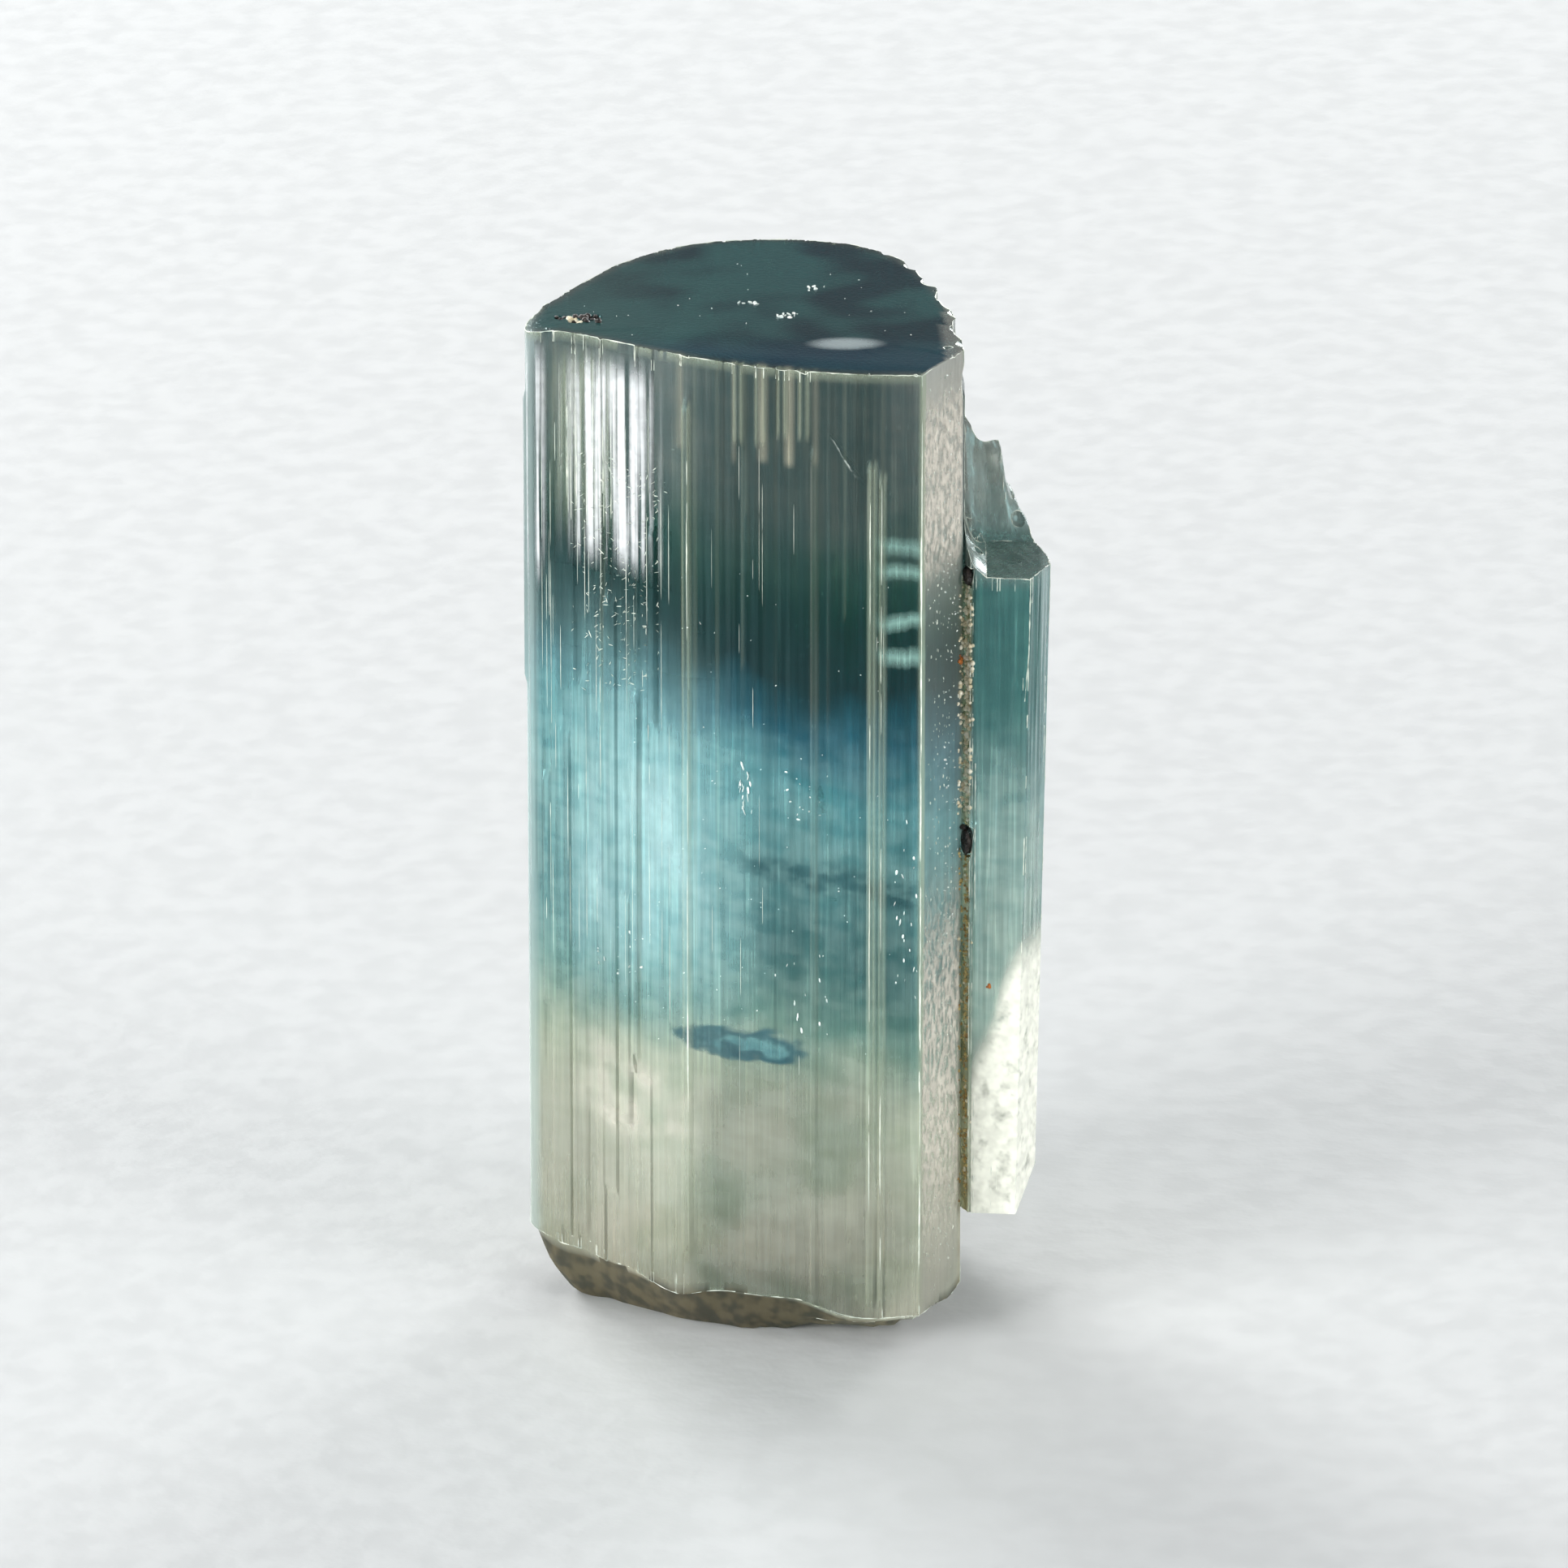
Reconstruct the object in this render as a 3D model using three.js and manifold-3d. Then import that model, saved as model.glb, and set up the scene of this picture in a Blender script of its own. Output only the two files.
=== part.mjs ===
// A natural blue tourmaline (indicolite) crystal: a stout prism of rounded three-sided section,
// striated along its length, with a flat basal face on top and a broken, gently domed foot. A
// thinner prism has grown along its right flank; its upper end is broken away in shell-shaped
// scoops. The two prisms are one intergrown solid.
//
// Millimetres, +Z up along the crystal's c axis. The front is -Y. The origin is the middle of the
// bounding box's underside, where the crystal stands.

import * as THREE from "three";
import { mergeVertices } from "three/addons/utils/BufferGeometryUtils.js";
import Module from "manifold-3d";

const wasm = await Module();
wasm.setup();

// ---- Driving dimensions ----

const CRYSTAL_HEIGHT = 22.6;

// The main prism's section, anticlockwise about the c axis from the rear edge of its narrow right
// facet, round the back and the left, to that facet's front edge. A smooth curve joins the points.
const SECTION_POINTS = [
  [4.72, -2.91],
  [4.62, -1.2],
  [4.28, 0.7],
  [3.62, 2.75],
  [2.35, 4.08],
  [0.4, 4.45],
  [-1.3, 4.02],
  [-2.75, 2.72],
  [-3.98, 0.62],
  [-4.7, -0.95],
  [-4.42, -1.38],
  [-3.5, -1.84],
  [-1.8, -2.92],
  [0.3, -3.78],
  [2.2, -4.24],
  [3.82, -4.39],
];
const STRIA_PITCH = 0.2;
const STRIA_DEPTH = { left: 0.05, front: 0.012, elsewhere: 0.032 };

// The side prism's section, in the same order. Its inner edge lies inside the main prism.
const SIDE_POINTS = [
  [6.26, -3.22],
  [6.7, -2.25],
  [6.62, -1.65],
  [6.44, -1.0],
  [6.2, -0.2],
  [5.8, 0.65],
  [5.2, 1.45],
  [4.3, 2.2],
  [3.3, 2.1],
  [3.3, -1.6],
  [4.66, -2.72],
  [4.88, -3.12],
];
const SIDE_BOTTOM = 2.76;
const SIDE_SHOULDER = 17.5;
const SIDE_TAPER = 0.36;
const SIDE_TOE = { across: 0.4, up: 0.78 };

// Raised ribs on the front wall: x, the heights between which they run, width and relief.
const FRONT_RIBS = [
  { x: -1.22, from: 1.9, to: 21.2, width: 0.2, relief: 0.07 },
  { x: 1.52, from: 1.2, to: 20.8, width: 0.14, relief: 0.035 },
  { x: 2.76, from: 1.0, to: 20.6, width: 0.14, relief: 0.07 },
  { x: 2.98, from: 1.0, to: 20.3, width: 0.1, relief: 0.05 },
];
// Short slats that hang from the top edge of the front wall and end in a ledge.
const TOP_SLATS = { from: -0.1, to: 1.3, count: 4, width: 0.22, relief: 0.06, length: 1.95 };
// Growth ledges on the rest of the wall, which start and stop along it.
const LEDGES = { count: 46, width: 0.3, relief: 0.05, shortest: 3, longest: 15 };

// The broken foot: how high its surface has risen where it meets the wall, and how far in from
// the wall it has come down to the ground, at angles about the axis.
const FOOT_RIM = [
  { angle: 0, rise: 1.35, reach: 1.5 },
  { angle: 55, rise: 0.85, reach: 1.1 },
  { angle: 110, rise: 1.15, reach: 0.9 },
  { angle: 160, rise: 1.25, reach: 1.2 },
  { angle: 190, rise: 1.65, reach: 1.0 },
  { angle: 204, rise: 1.3, reach: 0.7 },
  { angle: 220, rise: 1.2, reach: 0.5 },
  { angle: 244, rise: 0.93, reach: 0.45 },
  { angle: 268, rise: 1.13, reach: 0.5 },
  { angle: 284, rise: 1.02, reach: 0.9 },
  { angle: 302, rise: 0.74, reach: 2.1 },
  { angle: 322, rise: 0.92, reach: 1.9 },
  { angle: 332, rise: 1.25, reach: 1.6 },
  { angle: 360, rise: 1.35, reach: 1.5 },
];
const FOOT_SHARES = [0.36, 0.5, 0.62, 0.72, 0.8, 0.86, 0.91, 0.955, 1, 1.3];
const FOOT_SECTORS = 60;

// The break above the side prism's shoulder, as heights over x: along its ridge, and in front.
const BREAK_RIDGE = [
  [4.52, 23.2],
  [4.72, 21.9],
  [4.82, 20.8],
  [4.95, 20.1],
  [5.3, 19.6],
  [5.75, 19.35],
  [5.88, 18.7],
  [6.1, 18.15],
  [6.35, 17.7],
  [6.8, 17.3],
];
const BREAK_FRONT = [
  [4.55, 23.2],
  [4.74, 21.9],
  [4.82, 20.6],
  [4.92, 19.2],
  [5.08, 17.85],
  [5.22, 17.5],
  [6.8, 17.5],
];
const BREAK_DEPTHS = { front: -0.85, ridge: -0.12, fall: 0.42, retreat: 0.3 };
const BREAK_GRID = { from: 3.2, to: 7.2, columns: 32, rows: 30 };

// Shell-shaped bites in the broken slope: middle and radius.
const BREAK_SCOOPS = [
  { at: [6.25, -1.35, 19.55], radius: 1.05 },
  { at: [5.35, -1.75, 20.95], radius: 0.62 },
  { at: [5.55, 0.35, 20.6], radius: 0.8 },
  { at: [6.35, 0.75, 18.75], radius: 0.7 },
  { at: [5.3, 1.45, 20.4], radius: 0.75 },
  { at: [5.85, -2.35, 18.2], radius: 0.72 },
];
// Broad, shallow shells that the break left on the main prism's right flank.
const FLANK_SCOOPS = [
  { at: [6.68, -1.35, 22.45], radius: 2.2 },
  { at: [6.14, 0.75, 22.3], radius: 2.0 },
  { at: [5.72, 2.55, 21.7], radius: 2.2 },
  { at: [6.42, -2.85, 21.85], radius: 1.76 },
  { at: [6.0, -0.35, 20.95], radius: 1.42 },
];
// Bites out of the basal face's right edge.
const EDGE_CHIPS = [
  { at: [4.86, -2.45, 22.88], radius: 0.42 },
  { at: [4.8, -1.45, 22.78], radius: 0.42 },
  { at: [4.72, -0.45, 22.84], radius: 0.4 },
  { at: [4.6, 0.6, 22.76], radius: 0.5 },
  { at: [4.28, 1.65, 22.84], radius: 0.5 },
  { at: [3.85, 2.7, 22.8], radius: 0.42 },
];
// Small pits on the basal face, near its left corner.
const TOP_PITS = [
  { at: [-3.95, -0.75, 22.62], radius: 0.13 },
  { at: [-3.62, -0.98, 22.63], radius: 0.16 },
  { at: [-3.2, -0.72, 22.64], radius: 0.18 },
];
const CORNER_CHIP = { x: -4.6, y: -0.95, tilt: 17, turn: 12, drop: 0.16 };
const FRONT_BEVEL = { tilt: 5, reach: 0.75, turn: -11 };

// Grains of crust in the seam between the prisms, and two open pockets in it.
const CRUST = { count: 38, from: 12.0, to: 17.3, x: 4.8, y: -2.98, grain: 0.11 };
const SEAM_POCKETS = [
  { z: 17.5, height: 0.44, width: 0.24 },
  { z: 11.4, height: 0.74, width: 0.26 },
];

const TOURMALINE = new THREE.MeshStandardMaterial({
  name: "tourmaline",
  color: new THREE.Color(0.33, 0.55, 0.57),
  roughness: 0.18,
  metalness: 0,
  transparent: true,
  opacity: 0.6,
});

// ---- Solids ----

/** A closed three.js geometry as a manifold-3d solid. */
function solidFrom(geometry) {
  const bare = geometry.index ? geometry.toNonIndexed() : geometry.clone();
  bare.deleteAttribute("normal");
  bare.deleteAttribute("uv");
  const merged = mergeVertices(bare, 1e-4);
  const mesh = new wasm.Mesh({
    numProp: 3,
    vertProperties: new Float32Array(merged.attributes.position.array),
    triVerts: new Uint32Array(merged.index.array),
  });
  return new wasm.Manifold(mesh);
}

/** A manifold-3d solid as a three.js geometry. */
function geometryFrom(solid) {
  const { vertProperties, triVerts } = solid.getMesh();
  const geometry = new THREE.BufferGeometry();
  geometry.setAttribute("position", new THREE.BufferAttribute(vertProperties, 3));
  geometry.setIndex(new THREE.BufferAttribute(triVerts, 1));
  return geometry;
}

/** A repeatable number from 0 to 1 for a whole number. */
function scatter(index, channel = 0) {
  const value = Math.sin(index * 12.9898 + channel * 78.233 + 1.7) * 43758.5453;
  return value - Math.floor(value);
}

/** An upright prism on a list of [x, y] points, from one height to another. */
function uprightPrism(points, from, to) {
  const outline = new THREE.Shape(points.map(([x, y]) => new THREE.Vector2(x, y)));
  const geometry = new THREE.ExtrudeGeometry(outline, { depth: to - from, bevelEnabled: false });
  return geometry.translate(0, 0, from);
}

/** A faceted ball whose faces read as the surface of a break. */
function scoop({ at, radius }, detail = 5) {
  const turn = at[0] + 2 * at[1] + 3 * at[2];
  const ball = new THREE.IcosahedronGeometry(radius, detail).rotateZ(turn).rotateX(turn / 2);
  return solidFrom(ball.translate(...at));
}

// ---- Main prism ----

const wallCurve = new THREE.CatmullRomCurve3(
  SECTION_POINTS.map(([x, y]) => new THREE.Vector3(x, y, 0)),
  false,
  "centripetal",
);
wallCurve.arcLengthDivisions = 800;

/** Where a share of the way round the striated wall lies, with the outward direction there. */
function wallAt(share) {
  const point = wallCurve.getPointAt(share);
  const along = wallCurve.getTangentAt(share);
  return { point, outward: new THREE.Vector3(along.y, -along.x, 0) };
}

/** The share of the wall at which its front side passes x. */
function frontShareAt(x) {
  let low = 0.62;
  let high = 1;
  while (high - low > 1e-4) {
    const middle = (low + high) / 2;
    if (wallCurve.getPointAt(middle).x < x) low = middle;
    else high = middle;
  }
  return low;
}

/** How deep the striae are cut at a point of the wall. */
function striaDepthAt({ x, y }) {
  if (y > -1.2) return STRIA_DEPTH.elsewhere;
  const towardsRight = THREE.MathUtils.smoothstep(x, -2.2, -0.6);
  return THREE.MathUtils.lerp(STRIA_DEPTH.left, STRIA_DEPTH.front, towardsRight);
}

/** The main prism's section with every second point drawn in, so that the wall is striated. */
function striatedSection() {
  const count = Math.round(wallCurve.getLength() / STRIA_PITCH);
  const section = [];
  for (let i = 0; i <= count; i += 1) {
    const share = i / count;
    const { point, outward } = wallAt(share);
    const isCorner = i === 0 || i === count;
    const cut = isCorner || i % 2 === 0 ? 0 : striaDepthAt(point) * (0.4 + 1.2 * scatter(i));
    section.push([point.x - outward.x * cut, point.y - outward.y * cut]);
  }
  return section;
}

/** A rib on the wall: a low, narrow trapezoid of the given length, sunk a little into the wall. */
function rib(share, { from, to, width, relief }) {
  const sunk = 0.12;
  const { point, outward } = wallAt(share);
  const halfFoot = width / 2 + relief;
  const outline = [
    [-halfFoot, -sunk],
    [halfFoot, -sunk],
    [halfFoot, 0],
    [width / 4, relief],
    [-width / 4, relief],
    [-halfFoot, 0],
  ];
  const geometry = uprightPrism(outline, from, to);
  geometry.rotateZ(Math.atan2(outward.y, outward.x) - Math.PI / 2);
  geometry.translate(point.x, point.y, 0);
  return solidFrom(geometry);
}

/** The ribs of the front wall, and the short slats under its top edge. */
function frontRelief() {
  const ribs = FRONT_RIBS.map((one) => rib(frontShareAt(one.x), one));
  const step = (TOP_SLATS.to - TOP_SLATS.from) / (TOP_SLATS.count - 1);
  for (let i = 0; i < TOP_SLATS.count; i += 1) {
    const length = TOP_SLATS.length * (0.8 + 0.3 * scatter(i, 3));
    const share = frontShareAt(TOP_SLATS.from + i * step);
    const from = CRYSTAL_HEIGHT - length;
    ribs.push(rib(share, { ...TOP_SLATS, from, to: CRYSTAL_HEIGHT }));
  }
  return ribs;
}

/** Growth ledges spread round the rest of the wall. */
function growthLedges() {
  const lastShare = frontShareAt(-1.6);
  const ledges = [];
  for (let i = 0; i < LEDGES.count; i += 1) {
    const share = 0.02 + ((i * 0.618034) % 1) * (lastShare - 0.02);
    const span = LEDGES.longest - LEDGES.shortest;
    const length = LEDGES.shortest + span * scatter(i, 5);
    const from = 1.2 + (CRYSTAL_HEIGHT - 1.2 - length) * scatter(i, 6);
    const width = LEDGES.width * (0.5 + scatter(i, 7));
    const relief = LEDGES.relief * (0.4 + 0.8 * scatter(i, 8));
    ledges.push(rib(share, { from, to: from + length, width, relief }));
  }
  return ledges;
}

// ---- Side prism ----

/** The thinner prism on the right flank, with its shoulder still whole to the full height. */
function sidePrism() {
  const geometry = uprightPrism(SIDE_POINTS, SIDE_BOTTOM, CRYSTAL_HEIGHT);
  const position = geometry.attributes.position;
  for (let i = 0; i < position.count; i += 1) {
    const low = 1 - (position.getZ(i) - SIDE_BOTTOM) / (SIDE_SHOULDER - SIDE_BOTTOM);
    const outer = THREE.MathUtils.smoothstep(position.getX(i), 5.0, 6.4);
    position.setX(i, position.getX(i) - SIDE_TAPER * Math.max(low, 0) * outer);
  }
  return solidFrom(geometry);
}

/** What is cut from the side prism: its lower right edge, and the long oblique face beside it. */
function sideTrims() {
  const toe = new THREE.BoxGeometry(2, 9, 2).translate(1, 0, -1);
  toe.rotateY(-Math.atan2(SIDE_TOE.up, SIDE_TOE.across));
  const toeX = SIDE_POINTS[1][0] - SIDE_TAPER - SIDE_TOE.across;
  toe.translate(toeX, -1, SIDE_BOTTOM);
  const face = new THREE.BoxGeometry(3, 3, 12).translate(1.5, -1.5, 0);
  face.rotateZ(THREE.MathUtils.degToRad(-28));
  face.rotateY(THREE.MathUtils.degToRad(4.6));
  face.translate(5.72, -3.2, 10.5);
  return [solidFrom(toe), solidFrom(face)];
}

/** The height at x on a list of [x, height] points. */
function heightAt(points, x) {
  const next = Math.max(1, points.findIndex(([end]) => end >= x));
  const [[x0, z0], [x1, z1]] = [points[next - 1], points[next]];
  return THREE.MathUtils.mapLinear(THREE.MathUtils.clamp(x, x0, x1), x0, x1, z0, z1);
}

/** Height of the break above the side prism at a point of its plan. */
function breakHeight(x, y) {
  const { front, ridge, fall, retreat } = BREAK_DEPTHS;
  const share = THREE.MathUtils.smoothstep(y, front, ridge);
  const ridgeHeight = heightAt(BREAK_RIDGE, x + retreat * Math.max(y - front, 0));
  const height = THREE.MathUtils.lerp(heightAt(BREAK_FRONT, x), ridgeHeight, share);
  const nearShells = 0.2 * Math.abs(Math.sin(3.1 * Math.hypot(x - 6.4, y + 0.5, height - 20.6)));
  const farShells = 0.16 * Math.abs(Math.sin(4.3 * Math.hypot(x - 4.2, y - 2.2)));
  const shells = x > 4.75 ? nearShells + farShells - 0.2 : 0;
  return height - fall * Math.max(y - ridge, 0) + shells * Math.max(share, 0.12);
}

/** Everything that broke away above the side prism, down to the broken slope and the shoulder. */
function breakCut() {
  const { from, to, columns, rows } = BREAK_GRID;
  const block = new THREE.BoxGeometry(to - from, 8, 8, columns, rows, 1);
  block.translate((from + to) / 2, 0, CRYSTAL_HEIGHT);
  const position = block.attributes.position;
  for (let i = 0; i < position.count; i += 1) {
    const [x, y, z] = [position.getX(i), position.getY(i), position.getZ(i)];
    if (z < CRYSTAL_HEIGHT) position.setZ(i, breakHeight(x, y));
  }
  return solidFrom(block);
}

/** The grains of crust that fill the seam between the two prisms. */
function seamCrust() {
  const grains = [];
  for (let i = 0; i < CRUST.count; i += 1) {
    const z = CRUST.from + ((CRUST.to - CRUST.from) * (i + 0.6 * scatter(i, 9))) / CRUST.count;
    const radius = CRUST.grain * (0.75 + 0.5 * scatter(i, 10));
    const at = [CRUST.x + 0.07 * (scatter(i, 11) - 0.5), CRUST.y, z];
    grains.push(scoop({ at, radius }, 0));
  }
  return grains;
}

/** The open pockets in the seam. */
function seamPockets() {
  return SEAM_POCKETS.map(({ z, height, width }) => {
    const pocket = new THREE.BoxGeometry(width, 1.1, height).rotateY(0.12);
    return solidFrom(pocket.translate(CRUST.x + 0.02, CRUST.y, z));
  });
}

// ---- Breaks and bevels ----

/** The foot's rise or reach at an angle in degrees, between the listed ones. */
function footRim(degrees, key) {
  const next = FOOT_RIM.findIndex(({ angle }) => angle > degrees);
  const [low, high] = [FOOT_RIM[next - 1], FOOT_RIM[next]];
  const share = THREE.MathUtils.smoothstep(degrees, low.angle, high.angle);
  return THREE.MathUtils.lerp(low[key], high[key], share);
}

/** Height of the broken foot above the ground, on the way out to a point of the wall. */
function footHeight(wallPoint, share) {
  const angle = Math.atan2(wallPoint.y, wallPoint.x);
  const degrees = THREE.MathUtils.euclideanModulo(THREE.MathUtils.radToDeg(angle), 360);
  const inside = Math.hypot(wallPoint.x, wallPoint.y) * (1 - share);
  const out = Math.min(1 - (inside - 0.1) / footRim(degrees, "reach"), 1);
  if (out < 0) return -0.3;
  const shells = 0.06 * Math.sin(9 * inside + 4 * angle) + 0.035 * Math.sin(13 * angle);
  return footRim(degrees, "rise") * out ** 1.6 + shells * out - 0.02;
}

/** The ground under the broken foot, as a solid to cut away. */
function footCut() {
  const points = SECTION_POINTS.map(([x, y]) => new THREE.Vector3(x, y, 0));
  const outline = new THREE.CatmullRomCurve3(points, true, "centripetal");
  const rings = [0, ...FOOT_SHARES];
  const profile = rings.map((share) => new THREE.Vector2(share, 0)).reverse();
  profile.unshift(new THREE.Vector2(0, -3), new THREE.Vector2(rings.at(-1), -3));
  const geometry = new THREE.LatheGeometry(profile, FOOT_SECTORS);
  const position = geometry.attributes.position;
  for (let i = 0; i < position.count; i += 1) {
    const { x: share, y: depth } = profile[i % profile.length];
    const wallPoint = outline.getPointAt((Math.floor(i / profile.length) / FOOT_SECTORS) % 1);
    const z = depth < 0 ? depth : footHeight(wallPoint, share);
    position.setXYZ(i, wallPoint.x * share, wallPoint.y * share, z);
  }
  return solidFrom(geometry);
}

/** The chipped left corner of the basal face. */
function cornerChip() {
  const chip = new THREE.BoxGeometry(3, 4, 1.5).translate(-1.0, 0, 0.75);
  chip.rotateY(THREE.MathUtils.degToRad(-CORNER_CHIP.tilt));
  chip.rotateZ(THREE.MathUtils.degToRad(CORNER_CHIP.turn));
  chip.translate(CORNER_CHIP.x, CORNER_CHIP.y, CRYSTAL_HEIGHT - CORNER_CHIP.drop);
  return solidFrom(chip);
}

/** The low slope along the basal face's front edge. */
function frontBevel() {
  const bevel = new THREE.BoxGeometry(14, 4, 2).translate(0, -2, 1);
  bevel.rotateX(THREE.MathUtils.degToRad(FRONT_BEVEL.tilt));
  bevel.translate(0, -3.75 + FRONT_BEVEL.reach, CRYSTAL_HEIGHT);
  bevel.rotateZ(THREE.MathUtils.degToRad(FRONT_BEVEL.turn));
  return solidFrom(bevel);
}

// ---- The crystal ----

/** Both prisms joined, with their relief, then everything that broke away cut off. */
function crystalSolid() {
  const main = solidFrom(uprightPrism(striatedSection(), 0, CRYSTAL_HEIGHT));
  const mainPrism = wasm.Manifold.union([main, ...frontRelief(), ...growthLedges()]);
  const scoops = BREAK_SCOOPS.map((one) => scoop(one, 5));
  const sideCuts = [...sideTrims(), breakCut(), ...scoops];
  const brokenSide = wasm.Manifold.difference([sidePrism(), ...sideCuts]);
  const joined = wasm.Manifold.union([mainPrism, brokenSide, ...seamCrust()]);
  const shells = FLANK_SCOOPS.map((one) => scoop(one, 7));
  const chips = [...EDGE_CHIPS, ...TOP_PITS].map((one) => scoop(one, 2));
  const cuts = [...seamPockets(), ...shells, ...chips, cornerChip(), frontBevel(), footCut()];
  return wasm.Manifold.difference([joined, ...cuts]);
}

/** The crystal as a mesh whose bounding box stands on the origin. */
function crystalMesh() {
  const geometry = geometryFrom(crystalSolid());
  geometry.computeBoundingBox();
  const { min, max } = geometry.boundingBox;
  geometry.translate(-(min.x + max.x) / 2, -(min.y + max.y) / 2, -min.z);
  geometry.computeVertexNormals();
  const mesh = new THREE.Mesh(geometry, TOURMALINE);
  mesh.name = "tourmaline_crystal";
  return mesh;
}

const crystal = new THREE.Group();
crystal.add(crystalMesh());

export default crystal;
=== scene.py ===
"""A natural indicolite crystal, dressed for a studio view.

A stout striated prism of blue tourmaline stands on its broken foot, with a thinner prism grown
along its right flank. Sizes are in millimetres in the crystal's own section frame, and become
metres in the row frame when a mesh is made.
"""

import logging
import math
from collections.abc import Sequence
from dataclasses import dataclass, field
from enum import Enum
from functools import cache

import bmesh
import bpy
import numpy as np
from mathutils import Matrix, Vector, noise
from mathutils.kdtree import KDTree


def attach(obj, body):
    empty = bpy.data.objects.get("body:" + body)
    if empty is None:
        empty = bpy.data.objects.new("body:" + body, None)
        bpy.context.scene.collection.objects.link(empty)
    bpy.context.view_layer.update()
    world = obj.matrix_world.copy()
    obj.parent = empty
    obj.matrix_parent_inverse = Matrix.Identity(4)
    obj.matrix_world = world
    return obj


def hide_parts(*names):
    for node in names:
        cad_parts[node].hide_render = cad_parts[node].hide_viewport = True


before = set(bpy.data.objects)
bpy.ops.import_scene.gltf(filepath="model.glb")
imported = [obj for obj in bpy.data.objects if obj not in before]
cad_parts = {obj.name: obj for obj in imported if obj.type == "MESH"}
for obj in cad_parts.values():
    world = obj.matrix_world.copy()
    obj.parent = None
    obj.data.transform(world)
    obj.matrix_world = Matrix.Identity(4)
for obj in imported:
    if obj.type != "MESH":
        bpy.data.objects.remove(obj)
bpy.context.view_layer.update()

LOG = logging.getLogger("indicolite")

Array = np.ndarray
Thing = bpy.types.Object
Material = bpy.types.Material
Tree = bpy.types.NodeTree
Node = bpy.types.Node
Socket = bpy.types.NodeSocket
Point = tuple[float, float, float]
Tone = tuple[int, int, int]
Faces = list[Sequence[int]]
Axes = tuple[Socket, Socket, Socket]

MM = 0.001
CRYSTAL_NODE = "tourmaline_crystal"
BODY = "root"

# Where the main prism's section centre stands in the row frame, in millimetres.
SECTION_CENTRE = (-0.9249, -0.0557)

CRYSTAL_HEIGHT = 22.6

# The main prism's section, anticlockwise from its narrow facet's rear edge to its front edge.
SECTION_POINTS = (
    (4.72, -2.91), (4.62, -1.2), (4.28, 0.7), (3.62, 2.75), (2.35, 4.08),
    (0.4, 4.45), (-1.3, 4.02), (-2.75, 2.72), (-3.98, 0.62), (-4.7, -0.95),
    (-4.42, -1.38), (-3.5, -1.84), (-1.8, -2.92), (0.3, -3.78), (2.2, -4.24),
    (3.82, -4.39),
)

# The side prism's section, in the same order. Its inner edge lies inside the main prism.
SIDE_POINTS = (
    (6.26, -3.22), (6.7, -2.25), (6.62, -1.65), (6.44, -1.0), (6.2, -0.2),
    (5.8, 0.65), (5.2, 1.45), (4.3, 2.2), (3.3, 2.1), (3.3, -1.6), (4.66, -2.72),
    (4.88, -3.12),
)
SIDE_BOTTOM = 2.76
SIDE_SHOULDER = 17.5
SIDE_TAPER = 0.36

SEAM_X = 4.8
SEAM_Y = -2.98

# How many growth ledges the wall has, and how many small bites the broken slope has.
LEDGE_COUNT = 46
BITE_COUNT = 26
GOLDEN_SHARE = 0.618034


def smoothstep(value: Array | float, low: float, high: float) -> Array:
    """Rises from 0 at low to 1 at high, with level ends."""
    share = np.clip((np.asarray(value, float) - low) / (high - low), 0.0, 1.0)
    return share * share * (3.0 - 2.0 * share)


def scatter(index: int, channel: int = 0) -> float:
    """A repeatable number from 0 to 1 for a whole number."""
    value = math.sin(index * 12.9898 + channel * 78.233 + 1.7) * 43758.5453
    return value - math.floor(value)


def srgb(red: int, green: int, blue: int) -> tuple[float, ...]:
    """A colour given as 0 to 255 steps, as the linear values that a shader takes."""
    channels = []
    for step in (red, green, blue):
        share = step / 255.0
        channels.append(share / 12.92 if share <= 0.04045 else ((share + 0.055) / 1.055) ** 2.4)
    return (channels[0], channels[1], channels[2], 1.0)


# ---- Meshes ----


def place(points: Array) -> Array:
    """Points of the section frame in millimetres, as points of the row frame in metres."""
    return (points + np.array([*SECTION_CENTRE, 0.0])) * MM


def linked(name: str, data: bpy.types.ID) -> Thing:
    """An object of the scene that shows the given mesh, light or camera."""
    thing = bpy.data.objects.new(name, data)
    bpy.context.scene.collection.objects.link(thing)
    return thing


def mesh_object(name: str, points: Array, faces: Sequence[Sequence[int]]) -> Thing:
    """An object whose mesh is already in place.

    Args:
        name: The object's name.
        points: Vertices in the section frame, in millimetres.
        faces: Vertex numbers of each face, anticlockwise from outside.

    Returns:
        The linked object, at the origin.
    """
    mesh = bpy.data.meshes.new(name)
    mesh.from_pydata(place(np.asarray(points, float)).tolist(), [], [list(face) for face in faces])
    mesh.update()
    return linked(name, mesh)


def lattice_faces(columns: int, rows: int) -> Faces:
    """Faces of a grid that closes on itself sideways, with its rows one after another."""
    faces: Faces = []
    for row in range(rows - 1):
        low = row * columns
        for column in range(columns):
            after = (column + 1) % columns
            faces.append((low + column, low + after, low + columns + after, low + columns + column))
    return faces


def capped_lattice(
    rings: Sequence[Array], low: Sequence[float], high: Sequence[float]
) -> tuple[Array, Faces]:
    """Points and faces of rings one over another, closed by a fan of faces at each end.

    Args:
        rings: The points of each ring, from the lowest to the highest.
        low: The point that closes the lowest ring.
        high: The point that closes the highest ring.

    Returns:
        The points, with the two closing ones last, and the faces.
    """
    columns, count = len(rings[0]), len(rings)
    faces = lattice_faces(columns, count)
    bottom, last = count * columns, (count - 1) * columns
    for column in range(columns):
        after = (column + 1) % columns
        faces.append((bottom, after, column))
        faces.append((bottom + 1, last + column, last + after))
    return np.vstack([*rings, [low], [high]]), faces


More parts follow.
